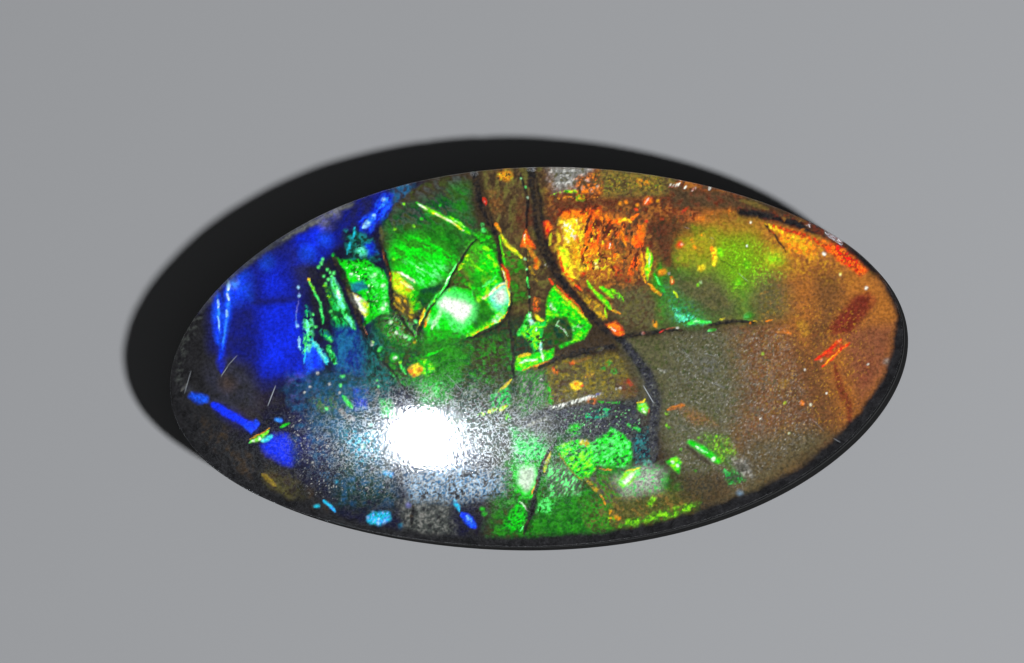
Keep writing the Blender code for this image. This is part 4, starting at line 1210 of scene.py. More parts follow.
# %% [markdown]
# A wine-red band with a pair of thin red lines crosses the amber near its tip. Then three patches of very
# fine grain, nearly all gaps, strew pale specks over the whole right half.

# %% The wine-red band and the specks
patch("maroon wine", (13.5, 1.55), (14.1, 1.6), (14.3, 1.25), (13.95, 0.8), (13.2, 0.05), (12.4, -0.05),
    (12.3, 0.2), (12.9, 0.95), size=0.14, contrast=1.4, grit=0.4)
streak("rust maroon", 0.5, (13.9, 1.6), (14.15, 1.3), (14, 0.95), cover=0.8, size=0.1)
streak("maroon red", 0.6, (12.1, -0.9), (12.8, -0.35), soft=1, cover=0.6)
streak("red ember", 0.24, (11.65, -1.03), (12.2, -0.65), (12.75, -0.22), taper=0.6, size=0.1)
streak("red ember orange", 0.24, (11.95, -1.28), (12.5, -0.85), (13.07, -0.38), taper=0.6, size=0.1)
streak("orange yellow", 0.07, (12, -1.23), (12.35, -0.95), (12.65, -0.7))
spot("orange silver", 0.1, (11.85, -1.05), (12.65, -0.3))
streak("wine maroon", 0.55, (12.45, -1.2), (12.55, -2.1), (12.9, -3), (12.9, -3.7), cover=0.8, size=0.12)
patch("rose maroon clay", (13.4, -1.2), (14, -1.2), (13.9, -2.2), (13.4, -2.2), soft=0.6, cover=0.35,
    size=0.1)
streak("amber orange", 0.2, (10.1, 0.2), (10.45, 0.28), (10.75, 0.18), cover=0.9, size=0.1)
spot("ochre gold", 0.35, (11.3, 0.2), (11.2, 0.5), (10.3, -1.9), cover=0.4, size=0.1)
spot("yellow white", 0.1, (11.33, -2.85), (12.95, 2.42))
spot("orange", 0.12, (10.95, -2.75), (11, -2.8))
spot("gold lime", 0.1, (10.25, -2.7), (10.4, -4), (9.5, -0.65), cover=0.8)
spot("white", 0.11, (12.3, 3.35), (13.95, 1.78))
spot("white", 0.07, (9.35, 4.82), (9.1, 3.9), (9.2, -3.3), (10.4, -4), (13.78, -1.4), (12, -2.45),
    (11.2, -1.4))
spot("slate silver", 0.22, (14.6, -1.3), cover=0.6)
speckled = [(5.6, 0.4), (10.5, 0.4), (11.5, -4.2), (8, -6.2), (5.4, -5)]
patch("ash", *speckled, soft=0.8, cover=0.3, size=0.05, gaps=0.6)
patch("ash silver", *speckled, soft=0.8, cover=0.5, size=0.045, gaps=1.12)
patch("amber gold", (9.5, 2), (13.5, 1), (14.2, -1), (12.5, -3.9), (9.5, -4.5), soft=0.8, cover=0.4,
    size=0.05, gaps=1)
print(bright_share())

# %% [markdown]
# Below the middle the shell is grey and ribbed. A few ridges catch the light as rows of pale ribs, which
# are streaks whose grain is drawn out across them.

# %% Grey ridges
patch("slate leaf ash", (-0.7, -0.7), (0.5, -0.7), (0.5, -2.1), (-0.7, -2.5), soft=0.4, size=0.07, turn=60,
    stretch=2, contrast=2)
patch("ash silver", (-0.8, -0.9), (0.5, -0.9), (0.4, -2.4), (-0.9, -2.5), soft=0.4, cover=0.6, size=0.05,
    turn=60, stretch=2, gaps=0.86)
spot("ember orange", 0.15, (0.85, -0.7), (1.62, -0.45), (0.95, -0.8), size=0.1, gaps=0.15)
streak("ochre amber", 0.2, (1.3, -0.5), (2.4, -0.25), cover=0.6, size=0.1)
streak("amber ochre gold", 0.3, (2, -1.1), (2.5, -0.9), soft=1, cover=0.8, size=0.1)
patch("gold yellow orange", (1.45, -1.3), (1.65, -1.2), (1.95, -1.3), (1.95, -1.5), (1.7, -1.6),
    (1.5, -1.5), soft=0.14, size=0.12)
spot("ember", 0.09, (1.95, -1.42))
spot("leaf emerald", 0.2, (3.1, -0.55), (3.3, -0.9), (2.9, -0.7), size=0.07, gaps=0.5)
spot("ember red", 0.14, (3.88, -1.38), (3.95, -1.5), size=0.1, gaps=0.1)
patch("maroon brown", (3.4, -1.2), (4.2, -1.3), (4.1, -2), (3.5, -2), cover=0.6, size=0.1)
streak("leaf green", 0.34, (0.5, -1.15), (0.6, -1.7), (0.65, -2.1), cover=0.9, size=0.1, gaps=0.3)
patch("slate ash silver", (0.45, -2.2), (1, -2.1), (1.15, -2.25), (0.6, -2.4), soft=0.12, size=0.1, turn=70,
    stretch=2, contrast=3)
streak("slate silver white", 0.28, (0.5, -2.28), (1.2, -2.1), (1.9, -1.97), (2.5, -1.87), size=0.07,
    turn=70, stretch=3, contrast=3.6)
streak("ash violet silver", 0.14, (2.1, -1.85), (2.8, -1.75), size=0.08, gaps=0.25)
streak("dusk slate", 0.3, (0.6, -2.6), (1.5, -2.35), (2.4, -2.25), cover=0.8, size=0.1)
spot("rose orange", 0.18, (2.2, -2.03), (2.4, -2.08), size=0.1, gaps=0.1)
spot("silver", 0.08, (3.35, -1.67), (3.5, -1.65), (0.28, -1.05))
streak("ash silver white", 0.22, (-0.5, -2.95), (-0.1, -2.75), (0.4, -2.72), size=0.08, contrast=3,
    gaps=0.25)
streak("leaf green", 0.14, (2.55, -2.1), (3, -2.18), (3.5, -2.25), size=0.1, gaps=0.25)
patch("slate coal dusk", (0.9, -2.5), (3.7, -2.35), (3.6, -3.3), (1, -3.2), size=0.1, turn=10, stretch=2)
patch("slate teal emerald", (1.9, -2.6), (3, -2.3), (3.1, -2.7), (2, -2.95), soft=0.2, size=0.07, turn=20,
    stretch=2, gaps=0.5)
patch("silver mint", (0.8, -2.4), (4.2, -2.2), (4.4, -3.6), (1, -3.4), soft=0.4, cover=0.7, size=0.045,
    gaps=1.12)
print(bright_share())

# %% [markdown]
# Two emerald flakes lie under the ridges, with a bubbly grain like the left shard's, and the dark end of
# the main crack beside them. A grey speckle over their left is painted glint haze in the cap's scratches.

# %% Two emerald flakes
patch("forest emerald mint", (-1.1, -3), (0.2, -3.3), (0.2, -4.4), (-1, -4.7), soft=0.5, size=0.08)
# painted reflection: grey speckle of the glint's haze over the green
patch("slate ash moss", (-0.9, -2.5), (0.6, -2.6), (0.6, -3.7), (-0.9, -3.4), soft=0.5, cover=0.6,
    size=0.06, turn=60, stretch=2)
scales = {"size": 0.09, "turn": 20, "stretch": 1.5, "contrast": 3.0}
patch("forest green green lime", (0.7, -3.9), (1, -3.75), (1.6, -3.6), (2.2, -3.9), (2.3, -4.3),
    (2.2, -4.9), (1.9, -5.25), (1.6, -5.2), (1.2, -4.8), (0.9, -4.3), soft=0.14, **scales)
patch("pine leaf green", (1.1, -3.5), (1.7, -3.45), (1.75, -3), (1.3, -2.95), soft=0.2, **scales)
spot("gold yellow white", 0.16, (1.75, -3.75), (1.95, -3.78), size=0.1)
spot("orange", 0.07, (1.95, -3.9), (2.05, -3.85))
patch("forest green green green mint", (2.1, -3.8), (2.55, -3.6), (3, -3.25), (3.4, -3.5), (3.75, -3.9),
    (3.82, -4.5), (3.5, -4.95), (2.9, -4.8), (2.2, -4.7), soft=0.14, **scales)
patch("green mint", (2.6, -3.7), (3.3, -3.6), (3.6, -4.2), (3, -4.6), (2.5, -4.3), gaps=0.6, **scales)
streak("emerald green mint", 0.22, (3.6, -3.15), (3.95, -3.25), (4.2, -3.45), size=0.08, gaps=0.15)
patch("coal ink teal", (3.85, -3.6), (4.6, -3.3), (4.7, -5), (3.9, -4.9), soft=0.25, size=0.09)
patch("slate teal", (3.9, -3.6), (4.5, -3.4), (4.6, -4.8), (4, -4.8), soft=0.2, cover=0.6, size=0.07,
    gaps=0.75)
streak("gold orange", 0.08, (2.35, -4.88), (2.95, -5), gaps=0.2)
print(bright_share())

# %% [markdown]
# Along the lower rim the shell is dim green and olive, with one white-green hotspot at its upper left
# corner and coarse slanting grain.

# %% The green band along the lower rim
patch("moss forest green", (-1.3, -4.4), (-0.1, -4.3), (0, -5), (-0.4, -6), (-1.15, -5.8), soft=0.35,
    size=0.12)
patch("leaf green", (-1.15, -4.5), (-0.15, -4.5), (-0.1, -5), (-0.45, -5.95), (-1.15, -5.6), soft=0.2,
    size=0.1)
patch("green mint", (-0.98, -4.6), (-0.2, -4.6), (-0.15, -4.95), (-0.45, -5.5), (-0.7, -5.7), (-1, -5.4),
    soft=0.25, contrast=1.2, grit=0.6)
patch("silver white", (-0.88, -4.65), (-0.28, -4.65), (-0.25, -5), (-0.5, -5.5), (-0.72, -5.62),
    (-0.95, -5.3), soft=0.25, cover=0.8, **mild)
streak("orange yellow", 0.11, (-0.15, -5.15), (-0.5, -5.75), size=0.1)
streak("lime gold yellow", 0.22, (0.42, -4.05), (0.3, -4.4), (0.15, -4.9), size=0.1)
streak("orange ember", 0.08, (0.3, -4.1), (0.08, -4.6), gaps=0.2)
patch("slate leaf ash mint", (0.3, -4.4), (1, -4.7), (1.6, -5.4), (1.5, -6), (0.2, -6), soft=0.25,
    size=0.07, turn=60, stretch=2.5, contrast=3)
patch("leaf olive slate", (1.8, -5.2), (3.2, -5.2), (4.8, -5.8), (4.8, -6.6), (3, -6.9), (2.3, -6),
    size=0.09, turn=-50, stretch=2.5)
streak("olive gold leaf", 0.26, (1.8, -5.2), (2.1, -5.6), (2.4, -6), size=0.08, turn=-20, stretch=2.5,
    contrast=3.4)
patch("forest green forest", (-1, -5.95), (-0.62, -6.5), (-0.85, -7.1), (-1.1, -7.35), (-1.8, -7.1),
    (-1.65, -6.7), (-1.3, -6.3), soft=0.16, size=0.14)
streak("mint white", 0.09, (-0.98, -6.05), (-0.64, -6.5))
streak("mint", 0.09, (-0.85, -7.05), (-1.05, -7.3))
patch("forest leaf", (-0.4, -6.8), (0.2, -5.9), (1.5, -5.9), (2, -6.5), (2, -7.6), (0.6, -7.6),
    (-0.5, -7.4), soft=0.35, size=0.16)
patch("green mint leaf", (-0.35, -6.5), (0, -5.8), (0.5, -5.9), (0.3, -6.6), soft=0.2, size=0.09, gaps=0.3)
patch("olive leaf moss", (1.5, -6), (2.5, -6.2), (3.2, -7.6), (1.8, -7.6), soft=0.4, size=0.2)
patch("olive moss ochre", (3, -6.2), (5.2, -5.9), (6.5, -6.3), (6.3, -7.3), (3, -7.6), (2.6, -6.8),
    soft=0.4, size=0.12, turn=-40, stretch=1.6)
streak("olive leaf lime", 0.6, (3, -7.3), (4.4, -7.1), (5.4, -6.9), (6.5, -6.6), soft=1, cover=0.8,
    size=0.12, gaps=0.1)
spot("leaf lime", 0.2, (5.4, -7), (3.5, -7.2), (3.8, -7.3), (4.55, -6.3), (4.4, -6.5), (2.75, -7),
    size=0.08, gaps=0.3)
print(bright_share())

# %% [markdown]
# A white-green blade stands out of a pale haze, and single green, orange and grey marks lie to the right
# of it, each where the light finds an edge.

# %% The blade and the sparks beside it
patch("ash silver mint", (3.1, -5.4), (4.4, -4.9), (5, -5.2), (4.8, -5.9), (3.4, -6), soft=0.9, cover=0.85,
    size=0.06, contrast=1.6)
patch("lime mint", (3.1, -5.5), (3.45, -5.15), (4.15, -4.95), (4.1, -5.2), (3.6, -5.6), (3.3, -5.75),
    soft=0.16)
patch("white", (3.3, -5.45), (3.6, -5.25), (3.95, -5.12), (3.7, -5.4), (3.4, -5.6), soft=0.14, **mild)
streak("gold yellow", 0.1, (3.5, -5.1), (4.15, -4.98))
spot("silver", 0.08, (4.3, -5.02), (4.5, -5.35), (4.75, -5.5))
patch("green lime mint", (4.2, -2.35), (4.5, -2.3), (4.65, -2.55), (4.45, -2.8), (4.2, -2.6), soft=0.14,
    size=0.14)
streak("yellow orange", 0.11, (4.15, -2.3), (4.4, -2.25), (4.48, -2.1))
streak("orange ember", 0.08, (4.62, -2.5), (4.6, -2.75))
spot("white", 0.09, (4.4, -2.58), (4.45, -2.7))
patch("leaf green lime", (5.2, -4.75), (5.6, -4.6), (5.85, -4.9), (5.68, -5.35), (5.45, -5.15), soft=0.14)
spot("white", 0.11, (5.66, -5.02), (5.48, -4.85))
streak("forest leaf", 0.8, (6.3, -4.2), (7.4, -4.6), (8, -5.3), soft=1, cover=0.4, size=0.09)
streak("umber coal", 0.3, (6.1, -4.25), (6.6, -4.7), (7, -5), cover=0.8)
streak("green", 0.46, (6.25, -4.05), (6.8, -4.45), (7.38, -4.88), taper=0.8, size=0.15)
streak("mint white", 0.15, (6.4, -4.2), (6.65, -4.4), (6.95, -4.55), size=0.14, grit=0.5)
spot("mint white", 0.12, (7.12, -4.82), (7.2, -4.78))
spot("leaf lime", 0.1, (5.33, -3.28), (5.42, -3.4), (6.6, -3.9), (7.35, -3.9), (5.85, -4.35), (6.35, -5.25))
streak("silver moss", 0.3, (5.1, -0.9), (5.3, -1.15), (5.5, -1), cover=0.7, size=0.07, gaps=0.35)
patch("olive slate ash", (6.8, -0.6), (7.6, -0.7), (7.7, -1.3), (7, -1.3), cover=0.6, size=0.08)
streak("rust orange amber", 0.26, (5.4, -2.65), (5.8, -2.55), (6.1, -2.5), cover=0.9, size=0.1)
streak("olive lime silver", 0.18, (5.25, -2.8), (5.55, -2.8), size=0.08, gaps=0.2)
patch("ochre amber brown", (5.8, -2.6), (6.6, -2.8), (7.4, -3.4), (6.4, -3.3), soft=0.5, cover=0.6,
    size=0.1)
patch("leaf olive lime", (6.8, -3.8), (7.8, -3.9), (8.1, -4.8), (7.5, -5), (7, -4.3), soft=0.4, cover=0.6,
    size=0.07)
streak("emerald mint", 0.26, (7.6, -5.25), (7.7, -5.6), size=0.1)
patch("slate forest emerald", (7.5, -5.3), (8.2, -5.4), (8.4, -5.8), (7.7, -6), soft=0.25, cover=0.8,
    size=0.08)
patch("slate ash silver", (7.8, -4.8), (8.6, -5), (8.7, -5.7), (8.2, -5.5), soft=0.4, cover=0.6, size=0.08)
spot("ash ice", 0.24, (8.15, -6.35), cover=0.4)
patch("umber brown coal", (5.6, -5.4), (7.3, -5.3), (7.9, -6.3), (6.6, -6.9), (5.6, -6.3), soft=0.5,
    cover=0.7, size=0.12)
print(bright_share())

# %% [markdown]
# The cracks are laid over the flakes. In the stone they are open joints filled with dark glue, so they are
# near black, ragged, and of changing width. The same list cuts grooves into the sheet further down.

# %% Cracks
MAIN_CRACK = [(3.8, 0.3), (4.3, -0.5), (4.7, -1.2), (4.9, -2.2), (4.8, -3.0), (4.7, -3.8), (4.7, -4.7)]
CRACKS = [
    (0.46, [(-1.95, 7.8), (-1.8, 7.0), (-1.6, 6.2), (-1.4, 5.7), (-1.2, 5.0)]),
    (0.24, [(-1.3, 5.3), (-1.12, 4.6), (-1.05, 4.1), (-1.0, 3.7)]),
    (0.20, [(-0.75, 2.6), (-0.78, 2.1), (-1.0, 1.65), (-1.5, 1.3), (-2.0, 1.1), (-2.7, 0.87)]),
    (0.16, [(-2.0, 5.0), (-2.5, 4.4), (-2.95, 3.8), (-3.35, 3.1), (-3.9, 2.5), (-4.1, 2.3), (-4.7, 1.3)]),
    (0.16, [(0.0, 7.5), (0.2, 6.6), (0.22, 6.2), (0.1, 5.3)]),
    (0.12, [(0.05, 4.4), (0.0, 3.3), (-0.02, 2.4), (0.0, 1.7)]),
    (0.62, [(0.4, 7.8), (0.6, 6.5), (0.6, 5.3), (0.8, 4.3), (1.0, 3.8), (1.3, 3.2), (1.7, 2.5)]),
    (0.40, [(1.3, 3.2), (1.7, 2.55), (2.15, 1.95), (2.55, 1.45), (2.95, 1.0), (3.35, 0.55), (3.9, 0.2)]),
    (0.26, [(3.5, 0.45), (4.7, 0.6), (5.6, 0.62), (6.2, 0.6)]),
    (0.22, [(7.3, 0.7), (8.0, 0.8), (8.9, 0.75), (9.2, 0.7)]),
    (0.34, [(3.4, 0.15), (2.0, -0.02), (1.0, -0.25), (0.2, -0.6)]),
    (0.62, MAIN_CRACK),
    (0.22, [(0.7, -3.6), (0.3, -4.1), (-0.05, -4.9), (-0.35, -5.7), (-0.5, -6.4), (-0.9, -7.4)]),
    (0.24, [(-5.95, 5.2), (-5.9, 4.8), (-5.7, 4.0), (-5.66, 3.2), (-5.65, 2.4), (-5.3, 1.8), (-4.9, 1.2)]),
    (0.34, [(-7.9, 4.6), (-7.55, 3.6), (-7.2, 2.5), (-7.05, 1.8), (-6.8, 1.2)]),
    (0.16, [(-5.4, -5.9), (-5.5, -6.7)]),
    (0.12, [(9.9, 4.8), (10.35, 4.2), (10.75, 3.5)]),
    (0.20, [(-6.2, 0.2), (-5.7, -0.5), (-5.3, -1.3)]),
    (0.18, [(-0.95, 1.5), (-0.8, 0.6), (-0.85, -0.3), (-0.8, -1.0)]),
]
for width, line in CRACKS:
    streak("black coal umber", width, *line, taper=0.5, soft=0.5, cover=0.92, size=0.1)
streak("coal dusk slate", 0.95, *MAIN_CRACK, soft=1, cover=0.85, size=0.1)
streak("slate ash", 0.6, *MAIN_CRACK, cover=0.7, size=0.05, gaps=0.95)
streak("black coal", 0.7, (-0.38, -5.9), (-0.5, -6.3), (-0.7, -6.8), taper=0.1)
streak("umber brown", 0.2, (-1.7, 7.2), (-1.45, 6), (-1.3, 5.4), cover=0.8)
streak("brown umber", 0.24, (0.62, 7.3), (0.62, 5.6), (0.75, 4.6), soft=1, cover=0.5)
print(f"{len(CRACKS)} cracks, {bright_share()}")

# %% [markdown]
# Where a shard ends at a crack its broken edge catches the light, as a thin bright fringe. These marks
# come after the cracks, so only the rim can still cover them.

# %% Bright fringes along the cracks
streak("red ember", 0.22, (-1.62, 6.62), (-1.5, 6.32))
streak("rose white", 0.08, (-1.6, 6.52), (-1.54, 6.38))
streak("red ember", 0.2, (-1, 3.85), (-0.82, 3.5), (-0.76, 3), (-0.78, 2.8))
streak("gold yellow", 0.15, (-1.03, 3.7), (-0.93, 3.4), (-0.87, 3))
streak("yellow white", 0.08, (-0.98, 3.55), (-0.9, 3.1))
streak("gold orange lime", 0.1, (-0.9, 1.85), (-1.3, 1.55), (-1.8, 1.3), (-2.5, 1.02), size=0.1, gaps=0.3)
streak("green mint", 0.14, (-2.9, 4), (-3.3, 3.3), (-3.75, 2.65))
streak("mint white", 0.08, (-3.2, 3.5), (-3.45, 3.1))
spot("green lime", 0.1, (-3.9, 2.55), (-3.28, 2.92))
streak("green mint", 0.12, (-0.02, 3.25), (0.03, 2.8))
spot("mint silver", 0.08, (-0.05, 4), (-0.03, 2.42), (0, 7.3), (0.25, 6.5), (0.22, 6.9), (-0.02, 3.6))
streak("brown orange", 0.1, (-5.68, 3.9), (-5.62, 3.4), gaps=0.2)
streak("gold olive", 0.09, (0.75, -4.05), (1.1, -4.75), (1.65, -5.3), gaps=0.15)
streak("olive gold orange", 0.13, (2.35, -6), (2.6, -6.35), (2.75, -6.7), (2.75, -7.2), size=0.08,
    gaps=0.25)
spot("orange gold", 0.12, (3.05, -7), (2.95, -6.95), size=0.08)
streak("gold", 0.07, (9.1, 0.76), (9.6, 0.75), gaps=0.2)
streak("gold orange", 0.08, (9.7, 0.72), (9.95, 0.72))
spot("silver rose", 0.1, (4.65, 0.6))
streak("red rose", 0.13, (5.25, 0.58), (5.5, 0.6))
streak("maroon rose", 0.07, (5.55, 0.68), (5.95, 0.72))
spot("silver", 0.09, (6.02, 0.7))
streak("olive yellow", 0.11, (7.8, 0.93), (8.05, 0.97))
spot("orange yellow", 0.1, (9.02, 0.68))
streak("maroon ember", 0.07, (9.95, 4.75), (10.3, 4.3), gaps=0.2)
print(bright_share())

# %% [markdown]
# The rim: along the upper left a pale line of light is painted on the shell's edge, where the cap's clear
# edge lets light in. Along the bottom the sheet was ground back, so that the black shale shows through the
# cap. The inner border of that black is one line, and everything outside it goes dark.

# %% The rim
RIM_LIGHT_LINE = [
    (-13.6, 2.78), (-12.75, 3.7), (-12.0, 4.3), (-11.05, 4.93), (-10.05, 5.48), (-9.05, 5.98),
    (-8.03, 6.38), (-7.02, 6.73),
]
# painted highlight: the pale line of light that the cap's clear edge lets in along the upper left
streak("ink indigo", 0.9, *RIM_LIGHT_LINE, taper=0.8, soft=1, cover=0.55, grit=0.3)
streak("dusk slate", 0.5, *RIM_LIGHT_LINE, taper=0.7, soft=1, cover=0.9, size=0.14, contrast=1.4, grit=0.5)
streak("slate ash", 0.3, *RIM_LIGHT_LINE[4:], soft=1, cover=0.7, size=0.14, contrast=1.4, grit=0.5)
spot("violet ash", 0.4, (-8.3, 6.1), (-7.75, 6.4), cover=0.5, size=0.12)
streak("black coal slate", 0.7, (-14.7, -0.2), (-14.5, 1.2), (-13.6, 2.7), soft=1, cover=0.7, size=0.14)
streak("slate ash", 0.2, (-14.6, -0.5), (-14.35, -0.15), soft=1, cover=0.5, size=0.1)
streak("umber maroon coal", 0.5, (11.7, 4.65), (12.5, 4.15), (13.1, 3.7), soft=0.5, size=0.1)
COLOUR_EDGE = [
    (-15.6, 9), (-15.0, 0.0), (-14.7, -1.2), (-13.9, -2.5), (-12.8, -3.7), (-11.3, -4.8), (-9.5, -5.7),
    (-7.0, -6.6), (-4.0, -7.2), (-1.0, -7.5), (2.0, -7.5), (4.5, -7.25), (6.8, -6.8), (8.6, -6.25),
    (10.3, -5.6), (11.2, -5.1), (12.4, -4.1), (13.4, -3.2), (14.0, -2.5), (14.5, -1.7), (14.8, -0.9),
    (15.05, 0.0), (15.1, 0.6), (14.85, 1.5), (14.45, 2.2), (14.05, 2.6), (13.6, 3.1), (13.2, 3.6),
    (13.2, 9),
]
EDGE_SOFT = 0.3

everywhere = np.arange(len(places))
depth = depth_inside(everywhere, COLOUR_EDGE)
lay(everywhere, "black coal", smooth(0.5 - depth / EDGE_SOFT))
print(f"{(depth < 0).mean():.0%} of the sheet is ground back")

# %% [markdown]
# The paint goes onto the sheet as a colour attribute, and the sheet gets its relief: grooves at the
# cracks, a slow swell, and a fine crinkle. Then the border is extruded down as the wall, and the underside
# is closed.

# %% Relief, walls and paint
GROOVE_DEPTH = 0.035 * MM
GROOVE_WIDTH = 0.7
SWELL, SWELL_SIZE = 0.07 * MM, 2.0
CRINKLE, CRINKLE_SIZE = 0.012 * MM, 0.22
EDGE_DARK = 0.012
FIRST_DROP = 0.1 * MM

groove = np.zeros(len(places))
for width, line in CRACKS:
    spots = near(line, width)
    side = smooth(1 - line_gap(spots, line) / (GROOVE_WIDTH * width))
    groove[spots] = np.maximum(groove[spots], side)
places[:, 2] = SHELL_FACE - GROOVE_DEPTH * groove
places[:, 2] -= SWELL * grain(seen_x, seen_y, SWELL_SIZE, shift=5.0)
places[:, 2] -= CRINKLE * grain(torn_x, torn_y, CRINKLE_SIZE, turn=-40, stretch=1.8, shift=13.0)
places[:, 2] = np.minimum(places[:, 2], SHELL_FACE)


def close_shell_part(part, part_places, part_colours):
    """Give a part its relief, its wall, its underside and its colours."""
    set_places(part, part_places)
    paint = part.data.attributes.new("play", "FLOAT_COLOR", "POINT")
    opaque = np.c_[part_colours, np.ones(len(part_colours))].astype(np.float32)
    paint.data.foreach_set("color", opaque.ravel())
    top_count = len(part.data.vertices)
    edit(part, "EDGE")
    bpy.ops.mesh.select_all(action="DESELECT")
    bpy.ops.mesh.select_non_manifold(extend=False, use_wire=False, use_multi_face=False,
                                     use_non_contiguous=False, use_verts=False)
    bpy.ops.mesh.extrude_region_move(TRANSFORM_OT_translate={"value": (0, 0, -FIRST_DROP)})
    bpy.ops.object.mode_set(mode="OBJECT")
    closed = get_places(part)
    closed[top_count:, 2] = shell_low.z
    set_places(part, closed)
    colours = np.empty(len(closed) * 4, np.float32)
    part.data.attributes["play"].data.foreach_get("color", colours)
    colours = colours.reshape(-1, 4)
    colours[top_count:, :3] = EDGE_DARK
    part.data.attributes["play"].data.foreach_set("color", colours.ravel())
    bpy.ops.object.mode_set(mode="EDIT")
    bpy.ops.mesh.edge_face_add()
    finish_shape(part, "ammolite_layer", smooth_angle=60)


first = 0
for part, count in zip(shell_parts, part_sizes):
    deselect_all()
    part.select_set(True)
    close_shell_part(part, places[first:first + count], play[first:first + count])
    first += count

# %% [markdown]
# The clear cap is a lens of glass-clear stone. It is built as by hand: a disc for its underside, extruded
# up as the thin girdle edge, then ring by ring up the dome, each ring smaller, until the last one is merged
# to a point. Its underside reaches a little way down into the ammolite, so that no air gap lies between
# them. It casts no shadow of its own, because clear stone lets the light through to the shell.

# %% The clear cap
CAP_RINGS = 30
CAP_SKIN = 0.004 * MM
CAP_SKIRT = 0.08 * MM
CAP_STEP_IN = 0.25 * MM
CAP_SINK = 0.20 * MM
RIM_BEVEL = 0.05 * MM

skirt_z = cap_low.z - CAP_SKIRT
cap = oval_disc("clear_dome", lean(cap_low.z) - CAP_SKIN, skirt_z)
edit(cap, "EDGE")
bpy.ops.mesh.select_all(action="SELECT")
extrude_up(EDGE_TOP - skirt_z)
height, spread = EDGE_TOP, 1.0
for step in range(1, CAP_RINGS):
    out = math.cos(math.pi / 2 * step / CAP_RINGS)
    ring_height = EDGE_TOP + (cap_high.z - EDGE_TOP) * (1 - out**DOME_POWER)
    extrude_up(ring_height - height, out / spread)
    height, spread = ring_height, out
bpy.ops.mesh.merge(type="CENTER")
select_edges_at(cap, EDGE_TOP)
bpy.ops.mesh.bevel(offset=RIM_BEVEL, segments=2, affect="EDGES")
bpy.ops.mesh.select_all(action="DESELECT")
bpy.ops.object.mode_set(mode="OBJECT")
for face in cap.data.polygons:
    face.select = abs(face.center.z - skirt_z) < SAME_HEIGHT
edit(cap, "FACE")
bpy.ops.mesh.inset(thickness=CAP_STEP_IN)
bpy.ops.mesh.extrude_region_move(TRANSFORM_OT_translate={"value": (0, 0, -CAP_SINK)})
finish_shape(cap, "clear_cap")
cap.visible_shadow = False
cap.visible_diffuse = False

# %% [markdown]
# Now the finishes. Blender makes a material out of nodes, and a few kinds come back in each one: a noise on
# the piece's own coordinates, a step that turns one range of numbers into another, a sum, and a bump. These
# functions add them, so each material below reads as a short list of what it is made of.

# %% Helpers for materials


def feed(node, sockets):
    """Give inputs of a node a plain value each, or a link from another node's output."""
    for name, value in sockets.items():
        if isinstance(value, bpy.types.NodeSocket):
            node.id_data.links.new(value, node.inputs[name])
        else:
            node.inputs[name].default_value = value


def add_node(tree, kind, sockets=None, **settings):
    node = tree.nodes.new(kind)
    for key, value in settings.items():
        setattr(node, key, value)
    feed(node, sockets or {})
    return node


def new_material(name):
    """A material, its nodes, and its Principled shader."""
    made = bpy.data.materials.new(name)
    made.use_nodes = True
    return made, made.node_tree, made.node_tree.nodes["Principled BSDF"]


def noise_texture(tree, scale, detail, stretch=(1, 1, 1)):
    """A noise from 0 to 1 on Object coordinates, in blots to a metre."""
    place = add_node(tree, "ShaderNodeTexCoord").outputs["Object"]
    mapping = add_node(tree, "ShaderNodeMapping", {"Vector": place, "Scale": stretch})
    given = {"Vector": mapping.outputs["Vector"], "Scale": scale, "Detail": detail}
    return add_node(tree, "ShaderNodeTexNoise", given).outputs["Fac"]


def map_range(tree, value, source, target):
    """Turn a number of one range into one of another, held at both ends."""
    ends = dict(zip(("From Min", "From Max", "To Min", "To Max"), (*source, *target)))
    return add_node(tree, "ShaderNodeMapRange", {"Value": value, **ends}).outputs["Result"]


def compute(tree, operation, first, second=0.0, clamp=False):
    """One sum with two outputs or plain numbers."""
    node = add_node(tree, "ShaderNodeMath", {0: first, 1: second}, operation=operation, use_clamp=clamp)
    return node.outputs["Value"]


def bump(tree, height, strength, distance):
    given = {"Height": height, "Strength": strength, "Distance": distance}
    return add_node(tree, "ShaderNodeBump", given).outputs["Normal"]


# %% [markdown]
# Ammolite is a stack of thin clear layers, glossy in its depth and a little metallic where it flashes, so
# the shader gets more metallic as the painted colour gets brighter. The colour is broken up once more by a
# noise finer than the mesh, and the same noise makes a little bump, so the flakes sparkle.

# %% Ammolite
FLAKE_SCALE = 9000
FLAKE_BUMP = 0.02 * MM
FLECK = (0.68, 1.28)
SPARKLE_SCALE = 26000
SHELL_ROUGHNESS = (0.30, 0.50)
DIM_TO_BRIGHT = (0.01, 0.06)
METAL_SHARE = (0.0, 0.12)

ammolite, tree, shader = new_material("ammolite")
paint = add_node(tree, "ShaderNodeAttribute", attribute_name="play").outputs["Color"]
flakes = noise_texture(tree, FLAKE_SCALE, detail=4)
sparkle = noise_texture(tree, SPARKLE_SCALE, detail=2)
fleck = map_range(tree, flakes, (0.35, 0.65), FLECK)
broken = add_node(tree, "ShaderNodeVectorMath", {0: paint, "Scale": fleck}, operation="SCALE")
brightness = add_node(tree, "ShaderNodeRGBToBW", {"Color": paint}).outputs["Val"]
feed(shader, {
    "Base Color": broken.outputs["Vector"],
    "Metallic": map_range(tree, brightness, DIM_TO_BRIGHT, METAL_SHARE),
    "Roughness": map_range(tree, sparkle, (0.3, 0.7), SHELL_ROUGHNESS),
    "Normal": bump(tree, flakes, 0.35, FLAKE_BUMP),
    "IOR": 1.18,
    "Specular IOR Level": 0.05,
})
for part in shell_parts:
    part.data.materials.append(ammolite)
print(f"{ammolite.name}: {len(tree.nodes)} nodes, on {len(shell_parts)} pieces")

# %% [markdown]
# Shale is black and fine-grained. The saw and the grinding wheel left faint lines around the wall, so its
# roughness and bump follow a noise that is drawn out sideways and thin in height.

